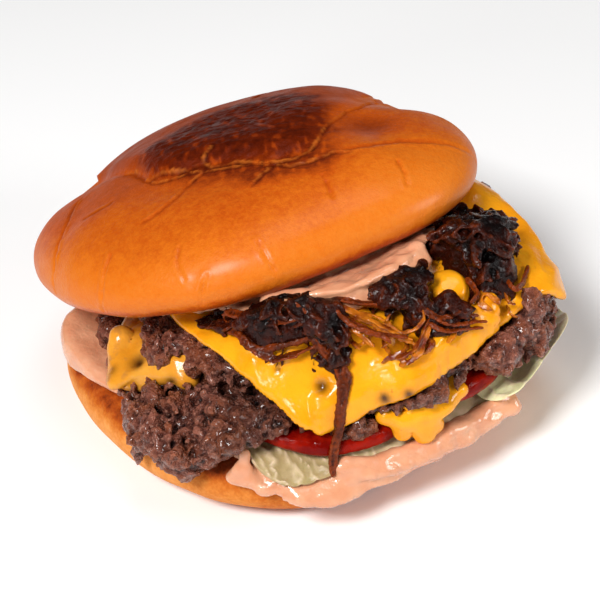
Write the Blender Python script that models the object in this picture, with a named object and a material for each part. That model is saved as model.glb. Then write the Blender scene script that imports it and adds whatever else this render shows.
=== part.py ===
"""A double cheeseburger, standing on its heel, with the crown tipped back off the fillings.

Lengths are millimetres until a mesh is made, and a mesh is in metres. +Z is up and -Y is the
open front. The heel and the crown are modelled first. Every layer is then laid on the heights
of what is already there and kept under the crown, so that layers follow each other and never
meet. Layers have more points towards the front, where their torn and melted edges show.
"""

import math
import random

import bpy
import numpy as np
from mathutils import Matrix, Vector, noise
from mathutils.bvhtree import BVHTree

MM = 0.001

# Driving dimensions
HEEL_RADIUS = 56.0
HEEL_HEIGHT = 16.0
CROWN_RADIUS = 53.5
CROWN_HEIGHT = 24.3
CROWN_CENTRE = (-5.6, 9.9, 38.2)  # middle of the crown's cut face
CROWN_TIP_BACK = 13.2  # degrees, front edge up
CROWN_LEAN = 11.8  # degrees, right edge up
BOTTOM_PATTY_RADIUS = 44.0
TOP_PATTY_RADIUS = 47.0
TOP_SAUCE_RADIUS = 44.0
TOP_SAUCE_CENTRE = (-3, 3)
CHEESE_THICKNESS = 1.9
TOMATO_RADIUS = 27.5
TOMATO_THICKNESS = 4.0
LEAF_THICKNESS = 1.0
SAUCE_THICKNESS = 1.5
STRIP_RADIUS = 1.25  # a cooked strip of onion
GAP = 0.35  # air between two layers
FOOTPRINT_CENTRE = (2.29, 1.695)  # middle of the whole burger's box, seen from above

# The square of ground whose heights are kept
HALF_FIELD = 80
CELL = 1.0
SIDE = int(2 * HALF_FIELD / CELL) + 1
NEAR = [(i, j) for i in (-1, 0, 1) for j in (-1, 0, 1) if i or j]


def material(name, colour, roughness, metallic=0.0):
    made = bpy.data.materials.new(name)
    made.use_nodes = True
    shader = made.node_tree.nodes["Principled BSDF"]
    shader.inputs["Base Color"].default_value = (*colour, 1.0)
    shader.inputs["Roughness"].default_value = roughness
    shader.inputs["Metallic"].default_value = metallic
    return made


def clear_scene():
    for old in list(bpy.data.objects):
        bpy.data.objects.remove(old)


def smoothstep(low, high, value):
    share = min(1.0, max(0.0, (value - low) / (high - low)))
    return share * share * (3 - 2 * share)


def bump(x, y, scale, seed):
    """Smooth unevenness from -1 to 1, whose swells are about scale millimetres apart."""
    return noise.noise(Vector((x / scale, y / scale, seed)))


def hill(x, y, peak, width, depth):
    """A smooth hill of height 1 over a place, with its own reach across and along."""
    return math.exp(-(((x - peak[0]) / width) ** 2) - ((y - peak[1]) / depth) ** 2)


def outline(base, knots):
    """A closed curve round a centre, as a function of the angle in degrees.

    It passes through (degrees, millimetres outside the base radius) knots.
    """
    angles = [a for a, _ in knots]
    radii = [base + r for _, r in knots]
    count = len(knots)

    def radius(angle):
        turn = (angle - angles[0]) % 360 + angles[0]
        i = max(k for k in range(count) if angles[k] <= turn)
        after = angles[i + 1] if i + 1 < count else angles[0] + 360
        t = (turn - angles[i]) / (after - angles[i])
        p0, p1, p2, p3 = (radii[(i + k) % count] for k in (-1, 0, 1, 2))
        bend = 2 * p0 - 5 * p1 + 4 * p2 - p3 + t * (3 * (p1 - p2) + p3 - p0)
        return p1 + 0.5 * t * (p2 - p0 + t * bend)

    return radius


def fan(count, pull=26):
    """Angles round a layer, in degrees, set closer together towards the open front."""
    turns = [k / count for k in range(count)]
    return [-90 + 360 * t - pull * math.sin(2 * math.pi * t) for t in turns]


def add_object(name, points, faces, look):
    """An object with one closed mesh, made from points in millimetres."""
    mesh = bpy.data.meshes.new(name)
    shift = Vector((FOOTPRINT_CENTRE[0], FOOTPRINT_CENTRE[1], 0))
    mesh.from_pydata([(Vector(p) - shift) * MM for p in points], [], faces)
    mesh.materials.append(look)
    mesh.shade_smooth()
    made = bpy.data.objects.new(name, mesh)
    bpy.context.scene.collection.objects.link(made)
    return made


def millimetres(thing):
    """The points and faces of an object, back in millimetres about the heel's middle."""
    shift = Vector((FOOTPRINT_CENTRE[0], FOOTPRINT_CENTRE[1], 0))
    points = [v.co / MM + shift for v in thing.data.vertices]
    return points, [tuple(f.vertices) for f in thing.data.polygons]


def scan(thing, start, direction):
    """Heights where rays along a direction first meet an object, on the grid of the ground."""
    tree = BVHTree.FromPolygons(*millimetres(thing))
    found = np.full((SIDE, SIDE), np.nan)
    for i in range(SIDE):
        for j in range(SIDE):
            x, y = i * CELL - HALF_FIELD, j * CELL - HALF_FIELD
            hit = tree.ray_cast(Vector((x, y, start)), direction)[0]
            if hit is not None:
                found[i, j] = hit.z
    return found


def reader(z):
    """A function that reads a grid of heights anywhere between its points."""

    def height(x, y):
        i = min(max((x + HALF_FIELD) / CELL, 0), SIDE - 1.001)
        j = min(max((y + HALF_FIELD) / CELL, 0), SIDE - 1.001)
        a, b = int(i), int(j)
        s, t = i - a, j - b
        low = z[a, b] * (1 - s) + z[a + 1, b] * s
        high = z[a, b + 1] * (1 - s) + z[a + 1, b + 1] * s
        return low * (1 - t) + high * t

    return height


def crown_turn():
    lean = Matrix.Rotation(math.radians(-CROWN_LEAN), 3, "Y")
    return lean @ Matrix.Rotation(math.radians(-CROWN_TIP_BACK), 3, "X")


def lid(x, y):
    """Height over a place of the plane in which the crown is cut."""
    up = crown_turn() @ Vector((0, 0, 1))
    east = up.x * (x - CROWN_CENTRE[0])
    north = up.y * (y - CROWN_CENTRE[1])
    return CROWN_CENTRE[2] - (east + north) / up.z


def room(x, y):
    """Height between the heel and the crown, which the layers share."""
    return lid(x, y) - HEEL_HEIGHT


def top_sauce_edge():
    return outline(
        TOP_SAUCE_RADIUS,
        [(-180, -7), (-150, -7), (-125, -6), (-105, -4), (-88, -1), (-76, 2.5), (-62, 3.5)]
        + [(-48, 3), (-30, 0), (0, -4), (60, -6), (120, -7)],
    )


class Stack:
    """The heights of what is laid so far, and of the crown over it."""

    def __init__(self, heel, crown):
        self.z = np.zeros((SIDE, SIDE))
        self.laid = []
        self.lay(heel)
        roof = np.nan_to_num(scan(crown, -10, Vector((0, 0, 1))), nan=999.0)
        for _ in range(4):
            roof = np.min([roof] + [np.roll(roof, step, (0, 1)) for step in NEAR], axis=0)
        for i in range(SIDE):
            for j in range(SIDE):
                x, y = i * CELL - HALF_FIELD, j * CELL - HALF_FIELD
                east, north = x - TOP_SAUCE_CENTRE[0], y - TOP_SAUCE_CENTRE[1]
                edge = top_sauce_edge()(math.degrees(math.atan2(north, east)))
                if math.hypot(east, north) < edge + 3:
                    roof[i, j] = min(roof[i, j], lid(x, y))
        self.under = reader(roof)

    def lay(self, thing):
        tops = scan(thing, 200, Vector((0, 0, -1)))
        self.z = np.fmax(self.z, np.nan_to_num(tops, nan=0.0))
        self.laid.append(BVHTree.FromPolygons(*millimetres(thing)))

    def draped(self, slope, cover=1):
        """Heights of a sheet laid on all this, which falls away from an edge at a slope."""
        z = self.z.copy()
        for _ in range(cover):
            z = np.max([z] + [np.roll(z, step, (0, 1)) for step in NEAR], axis=0)
        for _ in range(45):
            drops = [np.roll(z, step, (0, 1)) - slope * CELL * math.hypot(*step) for step in NEAR]
            z = np.max([z] + drops, axis=0)
        return reader(z)

    def settle(self, points, faces, partner):
        """Raises a layer, point by point, wherever it is nearer than the gap to what is below."""
        points = [Vector(p) for p in points]
        cells = [[int((p[k] + HALF_FIELD) / CELL) for p in points] for k in (0, 1)]
        spans = [range(min(row), max(row) + 2) for row in cells]
        for _ in range(12):
            tree = BVHTree.FromPolygons(points, faces)
            lifts = {}
            for face in {pair[0] for other in self.laid for pair in tree.overlap(other)}:
                for k in faces[face]:
                    lifts[k] = lifts[partner[k]] = GAP
            for i in spans[0]:
                for j in spans[1]:
                    at = Vector((i * CELL - HALF_FIELD, j * CELL - HALF_FIELD, -10))
                    hit, _, face, _ = tree.ray_cast(at, Vector((0, 0, 1)))
                    if hit is None or hit.z > self.z[i, j] + GAP - 0.02:
                        continue
                    for k in faces[face]:
                        for m in (k, partner[k]):
                            lifts[m] = max(lifts.get(m, 0), self.z[i, j] + GAP - hit.z)
            if not lifts:
                break
            for k, lift in lifts.items():
                points[k].z += lift
        return points


def close_rings(rings, low, high):
    """A closed form of rings from low to high. Two rings have equal or doubled counts."""
    points, starts, faces = [low], [], []
    for ring in rings:
        starts.append(len(points))
        points += ring
    points.append(high)
    first, last = len(rings[0]), len(rings[-1])
    for k in range(first):
        faces.append((0, 1 + (k + 1) % first, 1 + k))
    for r in range(len(rings) - 1):
        a, b = starts[r], starts[r + 1]
        n, m = len(rings[r]), len(rings[r + 1])
        for k in range(min(n, m)):
            after = (k + 1) % min(n, m)
            c, d, e = 2 * k, 2 * k + 1, (2 * k + 2) % max(n, m)
            if n == m:
                faces += [(a + k, a + after, b + after), (a + k, b + after, b + k)]
            elif m > n:
                faces += [(a + k, b + d, b + c), (a + k, a + after, b + d)]
                faces.append((a + after, b + e, b + d))
            else:
                faces += [(a + c, a + d, b + k), (a + d, a + e, b + after)]
                faces.append((a + d, b + after, b + k))
    top = starts[-1]
    for k in range(last):
        faces.append((top + k, top + (k + 1) % last, len(points) - 1))
    return points, faces


def round_layer(stack, name, look, centre, radius, bottom, top, edge, segments, crag=None):
    """A layer with a closed outline between a bottom and a top surface, with a rounded side.

    edge is the side's rounding, in millimetres. crag(angle, rise) moves the side in or out,
    where rise goes from 0 at the bottom to 1 at the top.
    """
    steps = 5
    angles = fan(segments)
    inside = [(0.3, 2), (0.62, 2), (0.86, 1), (1.0, 1)]
    if crag:
        inside.insert(3, (0.94, 1))
    profile = [(share, 0.0, 0.0, skip) for share, skip in inside]
    for k in range(1, steps):
        turn = math.pi * k / steps
        profile.append((1.0, math.sin(turn), (1 - math.cos(turn)) / 2, 1))
    profile += [(share, 0.0, 1.0, skip) for share, skip in reversed(inside)]
    shape = []
    for share, out, rise, skip in profile:
        ring = []
        for angle in angles[::skip]:
            reach = (radius(angle) - edge) * share + edge * out
            if crag and share == 1.0:
                reach += crag(angle, rise) * (0.4 + 0.6 * out)
            x = centre[0] + reach * math.cos(math.radians(angle))
            y = centre[1] + reach * math.sin(math.radians(angle))
            low, high = bottom(x, y), top(x, y)
            ring.append((x, y, low + rise * (high - low)))
        shape.append(ring)
    points, faces = close_rings(shape, (*centre, bottom(*centre)), (*centre, top(*centre)))
    starts = np.cumsum([1] + [len(ring) for ring in shape])
    partner = {0: len(points) - 1, len(points) - 1: 0}
    for r, ring in enumerate(shape):
        across = len(shape) - 1 - r
        for k in range(len(ring)):
            partner[int(starts[r]) + k] = int(starts[across]) + k
    points = stack.settle(points, faces, partner)
    return add_object(name, points, faces, look)


def curve_between(start, middle, end, t):
    """A point on the smooth curve from start to end that passes through middle."""
    pull = 2 * Vector(middle) - (Vector(start) + Vector(end)) / 2
    return Vector(start) * (1 - t) ** 2 + pull * 2 * t * (1 - t) + Vector(end) * t * t


def patch(corners, middles, u, v):
    """A place on a four-sided patch, seen from above, whose sides curve through middles."""
    a, b, c, d = (Vector(p) for p in corners)
    front, right, back, left = middles
    low = curve_between(a, front, b, u)
    high = curve_between(d, back, c, u)
    west = curve_between(a, left, d, v)
    east = curve_between(b, right, c, v)
    flat = (a * (1 - u) + b * u) * (1 - v) + (d * (1 - u) + c * u) * v
    return low * (1 - v) + high * v + west * (1 - u) + east * u - flat


def sheet(stack, name, look, place, bottom, thickness, across, along):
    """A thin solid over a grid of places, with both faces split into triangles alike."""
    row = across + 1
    under, over = [], []
    for j in range(along + 1):
        for i in range(row):
            x, y = place(i / across, j / along)
            z = bottom(x, y)
            under.append((x, y, z))
            over.append((x, y, z + thickness))
    points = under + over
    half = len(under)
    faces = []
    for j in range(along):
        for i in range(across):
            a = j * row + i
            b, c, d = a + 1, a + 1 + row, a + row
            faces += [(a, c, b), (a, d, c)]
            faces += [(a + half, b + half, c + half), (a + half, c + half, d + half)]
    rim = list(range(across))
    rim += [across + j * row for j in range(along)]
    rim += [along * row + across - i for i in range(across)]
    rim += [(along - j) * row for j in range(along)]
    for k, a in enumerate(rim):
        b = rim[(k + 1) % len(rim)]
        faces += [(a, b, b + half), (a, b + half, a + half)]
    partner = {k: (k + half) % len(points) for k in range(len(points))}
    points = stack.settle(points, faces, partner)
    return add_object(name, points, faces, look)


def make_heel(look):
    """The heel: a flat foot, a bulging side and a cut face with a low toasted lip."""
    radius = outline(
        HEEL_RADIUS,
        [(-177, -0.6), (-162, -2.2), (-148, -3), (-124, -1.8), (-104, 0), (-86, 0.8), (-68, -2), (-50, -2.8)]
        + [(-36, 0), (-15, 1.5), (20, 0), (60, -0.5), (100, 0), (140, -0.5)],
    )
    profile = [(0.5, 0, 2), (0.82, 0, 1), (0.92, 2.2, 1), (0.975, 5, 1), (1.0, 8.6, 1)]
    profile += [(0.985, 12.2, 1), (0.945, 14.8, 1), (0.895, HEEL_HEIGHT + 0.2, 1)]
    profile += [(0.83, HEEL_HEIGHT, 1), (0.5, HEEL_HEIGHT - 0.3, 2)]
    rings = []
    for share, height, skip in profile:
        ring = []
        for angle in fan(44, 12)[::skip]:
            reach = share * radius(angle)
            x, y = reach * math.cos(math.radians(angle)), reach * math.sin(math.radians(angle))
            sag = 0.35 * bump(x, y, 16, 3.1) if height > HEEL_HEIGHT / 2 else 0
            ring.append((x, y, height + sag))
        rings.append(ring)
    low, high = (0, 0, 0), (0, 0, HEEL_HEIGHT - 0.4)
    return add_object("bun_bottom", *close_rings(rings, low, high), look)


def groove(at, line, depth, width):
    """How far a crease along a line of places sinks the crust at a place."""
    nearest = 1e9
    for start, end in zip(line, line[1:]):
        run = Vector(end) - Vector(start)
        share = min(1, max(0, (at - Vector(start)).dot(run) / run.length_squared))
        nearest = min(nearest, (at - Vector(start) - run * share).length)
    return depth * math.exp(-((nearest / width) ** 2))


def make_crown(look):
    """The crown: a fat front roll, folded in along a crease from a flatter, browner top."""
    radius = outline(
        CROWN_RADIUS,
        [(-180, 0.7), (-150, -0.7), (-120, -0.7), (-90, -1.5), (-60, -1.9), (-30, 4.5)]
        + [(0, 0.7), (30, -6.3), (60, -0.6), (90, 2), (120, 0.1), (150, -2.1)],
    )
    profile = [(0.45, 0, 2), (0.86, 0, 1), (0.925, 0.6, 1), (0.975, 2.3, 1), (1.0, 5.5, 1)]
    for share in (0.975, 0.91, 0.82, 0.71, 0.59, 0.46, 0.32, 0.16):
        profile.append((share, 5.5 + (CROWN_HEIGHT - 5.5) * math.sqrt(1 - share**2), 1))
    profile = profile[:-2] + [(s, h, 2) for s, h, _ in profile[-2:]]
    turn = crown_turn()
    fold = [(-40, 10), (-28, -1), (-19, -15), (-5, -25), (13, -25), (25, -18), (33, 0), (37, 16)]
    side_fold = [(33, -14), (41, -24), (52, -20)]
    left_fold = [(-38, -8), (-42, -20), (-45, -28)]

    def swell(x, y, z):
        """Where a point of the plain dome goes on the real crown."""
        at = Vector((x, y))
        top = smoothstep(6, 18, z)
        sunk = top * max(groove(at, fold, 1.7, 3.4), groove(at, side_fold, 0.9, 3.5))
        sunk += smoothstep(1, 6, z) * groove(at, left_fold, 0.8, 2.2)
        sunk += top * (3.6 * hill(x, y, (-38, 17), 13, 12) + 1.3 * hill(x, y, (42, 14), 10, 14) + 1.2 * hill(x, y, (33, -12), 6, 6))
        return Vector((x, y, z - sunk + 0.8 * top * bump(x, y, 22, 1.3)))

    rings = []
    for share, height, skip in profile:
        ring = []
        for angle in fan(54, 12)[::skip]:
            reach = share * radius(angle)
            x, y = reach * math.cos(math.radians(angle)), reach * math.sin(math.radians(angle))
            ring.append(turn @ swell(x, y, height) + Vector(CROWN_CENTRE))
        rings.append(ring)
    low = turn @ Vector((0, 0, 0)) + Vector(CROWN_CENTRE)
    high = turn @ swell(0, 0, CROWN_HEIGHT) + Vector(CROWN_CENTRE)
    return add_object("bun_top", *close_rings(rings, low, high), look)


def make_bottom_sauce(stack, look):
    """Sauce spread on the heel, with lobes that run over its edge at the front and the left."""
    radius = outline(
        HEEL_RADIUS,
        [(-190, -7.5), (-180, -0.9), (-171, -0.8), (-162, -4), (-150, -8), (-135, -10), (-116, -9)]
        + [(-105, -4), (-96, 2.5), (-87, 6), (-76, 4), (-66, 2.5), (-57, 2.4), (-47, 2.4)]
        + [(-38, 4.5), (-28, 2), (-14, -5), (10, -7), (50, -8.5), (90, -8), (130, -9)],
    )
    ground = stack.draped(0.75)

    def top(x, y):
        angle = math.degrees(math.atan2(y, x))
        left = math.exp(-(((angle % 360 - 184) / 16) ** 2))
        out = math.hypot(x, y)
        depth = SAUCE_THICKNESS + 7.0 * left * smoothstep(44, 50, out)
        front = smoothstep(-110, -95, angle) * (1 - smoothstep(-35, -20, angle))
        depth += 1.2 * front * smoothstep(50, 57, out) * (1 + 0.6 * bump(x, y, 7, 8.3))
        return ground(x, y) + GAP + depth

    def bottom(x, y):
        return ground(x, y) + GAP

    return round_layer(stack, "sauce_bottom", look, (0, 0), radius, bottom, top, 1.6, 50)


def make_front_leaf(stack, look):
    """The lettuce leaf that the tomato lies on, ruffled at its edge."""
    centre = (0, -8)
    radius = outline(
        46,
        [(-175, -6), (-150, -9), (-130, -10), (-115, -7), (-106, -1), (-97, 5.5), (-88, 5)]
        + [(-76, 3.5), (-64, 4), (-52, 5), (-40, 8), (-30, 10.5), (-20, 5), (10, 0), (40, 3)]
        + [(70, 5), (95, 4), (120, 0), (150, -3)],
    )
    ground = stack.draped(0.8)

    def bottom(x, y):
        out = math.hypot(x - centre[0], y - centre[1])
        angle = math.atan2(y - centre[1], x - centre[0])
        ruffle = 0.7 * smoothstep(32, 50, out) * (1 + math.sin(13 * angle))
        return ground(x, y) + GAP + ruffle

    def top(x, y):
        return bottom(x, y) + LEAF_THICKNESS

    return round_layer(stack, "lettuce_front", look, centre, radius, bottom, top, 0.4, 44)


def make_right_leaf(stack, look):
    """The pale leaf that curls up past the patties on the right."""
    ground = stack.draped(0.7)
    first, last = math.radians(-43), math.radians(-8)

    def place(u, v):
        angle = last + (first - last) * u
        reach = 62.5 + 5.0 * math.sin(math.pi * u) ** 0.7 + 1.1 * math.sin(14 * angle)
        out = 34 + (reach - 34) * v
        return out * math.cos(angle), out * math.sin(angle)

    def bottom(x, y):
        out = math.hypot(x, y)
        angle = math.atan2(y, x)
        curl = 17.5 + 0.03 * max(0, out - 52) ** 2
        wave = 0.8 * math.sin(12 * angle + 0.5) * smoothstep(50, 66, out)
        return max(ground(x, y) + GAP, curl + wave)

    return sheet(stack, "lettuce_right", look, place, bottom, LEAF_THICKNESS, 13, 9)


def make_tomato(stack, name, look, centre, seed):
    """A round slice, soft enough to settle on what is under it."""
    ground = stack.draped(0.35, 2)

    def radius(angle):
        return TOMATO_RADIUS * (1 + 0.015 * math.sin(math.radians(3 * angle) + seed))

    def bottom(x, y):
        return ground(x, y) + GAP

    def top(x, y):
        return bottom(x, y) + TOMATO_THICKNESS

    return round_layer(stack, name, look, centre, radius, bottom, top, 1.2, 28)


def crags(depth, seed):
    """The torn edge of a pressed patty: deep clefts and lumps along its side."""

    def crag(angle, rise):
        turn = math.radians(angle)
        at = Vector((4.6 * math.cos(turn), 4.6 * math.sin(turn), seed + 1.8 * rise))
        fine = Vector((12 * math.cos(turn), 12 * math.sin(turn), seed + 3 + 3.6 * rise))
        return depth * (noise.noise(at) + 0.8 * noise.noise(fine))

    return crag


def make_bottom_patty(stack, look):
    """The lower patty. Its front left end breaks off in a thick lump on the heel."""
    centre = (0, -5)
    radius = outline(
        BOTTOM_PATTY_RADIUS,
        [(-180, -1), (-160, 0), (-146, 3), (-135, 8), (-124, 11), (-112, 10), (-100, 4.5)]
        + [(-88, 4), (-71, 5.5), (-58, 3), (-45, -1), (-25, -1), (0, -2), (30, -4), (60, -5)]
        + [(90, -6), (120, -6), (150, -4)],
    )
    ground = stack.draped(0.9)

    def bottom(x, y):
        lump = min(1, 1.3 * hill(x, y, (-26, -44), 15, 13))
        return max(ground(x, y) + GAP, HEEL_HEIGHT + min(6.0, 0.2 * room(x, y)) - 7.5 * lump)

    def top(x, y):
        out = math.hypot(x - centre[0], y - centre[1])
        level = HEEL_HEIGHT + min(17.0, 0.5 * room(x, y))
        level -= 6.0 * smoothstep(30, 54, out) * (1 - smoothstep(-25, 10, y))
        level += 1.3 * bump(x, y, 5, 2.2)
        return max(level, bottom(x, y) + 2.6)

    crag = crags(4.0, 1.7)
    return round_layer(stack, "patty_bottom", look, centre, radius, bottom, top, 2.6, 74, crag)


def make_top_patty(stack, look):
    """The upper patty, wide at the right, where its torn edge hangs over the tomato."""
    centre = (6, -4)
    radius = outline(
        TOP_PATTY_RADIUS,
        [(-180, -4), (-160, -4), (-145, -3.5), (-128, -3), (-110, -3), (-98, -4), (-86, -3)]
        + [(-74, 2), (-62, 4), (-50, 5), (-36, 10), (-22, 12), (-8, 8), (10, 2)]
        + [(30, -3), (50, -7), (80, -10), (110, -12), (140, -11), (160, -7)],
    )
    ground = stack.draped(1.1)

    def bottom(x, y):
        out = math.hypot(x - centre[0], y - centre[1])
        level = HEEL_HEIGHT + min(15.0, 0.42 * room(x, y)) - 5.5 * smoothstep(36, 52, out)
        return max(ground(x, y) + GAP, level)

    def top(x, y):
        out = math.hypot(x - centre[0], y - centre[1])
        level = HEEL_HEIGHT + min(31.0, 0.85 * room(x, y))
        droop = 16.0 - 8.0 * smoothstep(36, 56, x) + 6.0 * hill(x, y, (12, -50), 16, 8)
        level -= droop * smoothstep(32, 56, out) * (1 - smoothstep(-10, 25, y))
        level += 1.2 * bump(x, y, 5, 5.2)
        above = CHEESE_THICKNESS + SAUCE_THICKNESS + 3.0 * (1 - smoothstep(-16, 4, y))
        level = min(level, stack.under(x, y) - above - 4 * GAP)
        return max(level, bottom(x, y) + 2.6)

    crag = crags(3.4, 6.4)
    return round_layer(stack, "patty_top", look, centre, radius, bottom, top, 3.0, 74, crag)


def make_cheese(stack, name, look, corners, middles, slope, cells):
    """A square slice, melted over a patty, with its corners hanging down the side."""
    ground = stack.draped(slope)

    def place(u, v):
        return patch(corners, middles, u, v)

    def bottom(x, y):
        above = CHEESE_THICKNESS + SAUCE_THICKNESS + 2.5 * (1 - smoothstep(-16, 4, y))
        return min(ground(x, y) + GAP, stack.under(x, y) - above - 2 * GAP)

    return sheet(stack, name, look, place, bottom, CHEESE_THICKNESS, cells, cells)


def strip(stack, look, path, radius):
    """A flat cooked strip of onion along a path of points, thinner at both ends."""
    sides = 4
    rings = []
    for k, at in enumerate(path):
        ahead = path[min(k + 1, len(path) - 1)] - path[max(k - 1, 0)]
        across = ahead.cross(Vector((0, 0, 1))).normalized()
        upward = across.cross(ahead).normalized()
        size = radius * (1 - 0.45 * abs(2 * k / (len(path) - 1) - 1) ** 3)
        ring = []
        for turn in range(sides):
            angle = 2 * math.pi * (turn + 0.5) / sides
            out = across * math.cos(angle) * 1.4 + upward * math.sin(angle) * 1.1
            ring.append(at + size * out)
        rings.append(ring)
    points, faces = close_rings(rings, path[0], path[-1])
    points = stack.settle(points, faces, {k: k for k in range(len(points))})
    return add_object("strip", points, faces, look)


def fuse(core, pieces):
    """Joins pieces to a core, as one closed body."""
    group = bpy.data.collections.new("pieces")
    bpy.context.scene.collection.children.link(group)
    for piece in pieces:
        group.objects.link(piece)
    join = core.modifiers.new("join", "BOOLEAN")
    join.operation = "UNION"
    join.operand_type = "COLLECTION"
    join.collection = group
    join.solver = "EXACT"
    bpy.context.view_layer.objects.active = core
    bpy.ops.object.modifier_apply(modifier=join.name)
    for piece in pieces:
        bpy.data.objects.remove(piece)
    bpy.data.collections.remove(group)


def make_onions(stack, look):
    """Browned onions: one heap of strips, whose core runs along under the crown's edge."""
    ground = stack.draped(1.3, 2)
    centre = (18, -28)
    radius = outline(
        20,
        [(-180, 12), (-164, 13), (-150, 12), (-138, 9), (-122, 2), (-105, -4), (-85, -6), (-60, -4)]
        + [(-30, 7), (-10, 14), (10, 14), (30, 6), (60, -6), (90, -9), (140, -8)],
    )

    def bottom(x, y):
        return ground(x, y) + GAP

    def top(x, y):
        heap = 1.6 + 2.2 * max(0, bump(x, y, 6, 4.4) + 0.3)
        heap += 5.0 * hill(x, y, (0, -42), 10, 6) + 3.0 * hill(x, y, (24, -38), 7, 5)
        heap += 6.5 * hill(x, y, (43, -27), 9, 9) + 2.5 * hill(x, y, (37, -41), 5, 3)
        level = min(bottom(x, y) + heap, stack.under(x, y) - SAUCE_THICKNESS - 3 * GAP)
        return max(bottom(x, y) + 0.8, level)

    def rest(x, y, size):
        """The height at which a strip lies on the cheese or on the core."""
        angle = math.degrees(math.atan2(y - centre[1], x - centre[0]))
        inside = radius(angle) - 1 - math.hypot(x - centre[0], y - centre[1])
        height = bottom(x, y) + size
        return max(height, top(x, y) + 0.2 * size) if inside > 0 else height

    def clear(x, y, size):
        """Whether a strip has room here under the crown."""
        return rest(x, y, size) + size < stack.under(x, y) - SAUCE_THICKNESS - 2 * GAP

    core = round_layer(stack, "onions", look, centre, radius, bottom, top, 1.2, 32)
    dice = random.Random(11)
    pieces = []
    heaps = [((0, -43), 9, 5, 5), ((25, -40), 6, 3, 3), ((45, -30), 6, 7, 5), ((37, -42), 4, 2, 2)]
    for (cx, cy), wide, deep, count in heaps:
        for _ in range(count):
            x = cx + dice.uniform(-wide, wide)
            y = cy + dice.uniform(-deep, deep)
            heading = math.atan2(cy - y, cx - x) + dice.uniform(-1.2, 1.2)
            bend = dice.uniform(-0.45, 0.45)
            size = STRIP_RADIUS * dice.uniform(0.85, 1.2)
            lift = dice.uniform(0, 1.2)
            path = []
            for k in range(7):
                if not clear(x, y, size):
                    break
                arch = lift * math.sin(math.pi * k / 6)
                path.append(Vector((x, y, rest(x, y, size) + arch)))
                heading += bend
                x += 2.5 * math.cos(heading)
                y += 2.5 * math.sin(heading)
            if len(path) > 4:
                pieces.append(strip(stack, look, path, size))
    hanging = [(1, -45), (4.5, -48), (6.5, -51), (8.3, -53.5), (8.5, -55.5), (7.8, -57.3), (7.2, -58.8)]
    loops = [hanging, [(9, -43), (12, -45.5), (15, -47.5), (18, -49), (21.5, -50), (24, -48.5), (26, -45.5)]]
    loops.append([(25, -40), (22, -42.5), (19, -44), (18, -46.5), (20, -48.8), (17, -50.5), (13.5, -51)])
    for places in loops:
        path = [Vector((x, y, rest(x, y, STRIP_RADIUS))) for x, y in places]
        pieces.append(strip(stack, look, path, STRIP_RADIUS))
    fuse(core, pieces)
    return core


def make_top_sauce(stack, look):
    """Sauce under the crown, squeezed out along its front edge."""
    ground = stack.draped(4)

    def top(x, y):
        return min(stack.under(x, y), lid(x, y)) - GAP

    def bottom(x, y):
        out = math.hypot(x - TOP_SAUCE_CENTRE[0], y - TOP_SAUCE_CENTRE[1])
        front = (1 - smoothstep(-25, 0, y)) * smoothstep(34, 44, out)
        depth = 1.0 + 3.6 * front * (1 + 0.4 * bump(x, y, 8, 9.1))
        return min(max(top(x, y) - depth, ground(x, y) + GAP), top(x, y) - 0.7)

    centre, radius = TOP_SAUCE_CENTRE, top_sauce_edge()
    return round_layer(stack, "sauce_top", look, centre, radius, bottom, top, 1.2, 36)


def main():
    clear_scene()
    crust = material("crust", (0.62, 0.23, 0.05), 0.45)
    pale_crust = material("pale_crust", (0.70, 0.40, 0.17), 0.55)
    sauce = material("sauce", (0.80, 0.42, 0.29), 0.25)
    leaf = material("leaf", (0.62, 0.66, 0.38), 0.4)
    flesh = material("tomato", (0.60, 0.05, 0.02), 0.25)
    meat = material("meat", (0.12, 0.055, 0.04), 0.5)
    melted = material("cheese", (0.90, 0.48, 0.04), 0.3)
    browned = material("onion", (0.07, 0.02, 0.01), 0.3)

    stack = Stack(make_heel(pale_crust), make_crown(crust))
    stack.lay(make_bottom_sauce(stack, sauce))
    stack.lay(make_front_leaf(stack, leaf))
    stack.lay(make_right_leaf(stack, leaf))
    stack.lay(make_tomato(stack, "tomato_left", flesh, (7, -28), 0.4))
    stack.lay(make_tomato(stack, "tomato_right", flesh, (23, -22.5), 1.9))
    stack.lay(make_bottom_patty(stack, meat))
    corners = [(-42, -31), (28, -54), (50, 10), (-16, 26)]
    middles = [(-8, -38), (46, -24), (18, 23), (-37, -5)]
    stack.lay(make_cheese(stack, "cheese_bottom", melted, corners, middles, 1.3, 12))
    stack.lay(make_top_patty(stack, meat))
    corners = [(2, -55.5), (63, -26), (38, 20), (-30, -6)]
    middles = [(31, -46), (57, -7), (4, 12), (-21, -34)]
    stack.lay(make_cheese(stack, "cheese_top", melted, corners, middles, 1.6, 15))
    stack.lay(make_onions(stack, browned))
    make_top_sauce(stack, sauce)


main()
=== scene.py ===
# %% [markdown]
# # A double cheeseburger, dressed over its plain solids
# The burger stands on its heel with the crown tipped back. The frame holds one plain solid for each
# layer. Here each solid gets a finished piece with the real surface: baked crust, torn minced meat,
# melted cheese, browned onions, leaves, tomato and sauce. Lengths are millimetres until a mesh is
# written, because food is easier to think about that way, and meshes are in metres.

import math
import random

import bpy
import numpy as np
from mathutils import Matrix, Vector, noise
from mathutils.bvhtree import BVHTree


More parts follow.
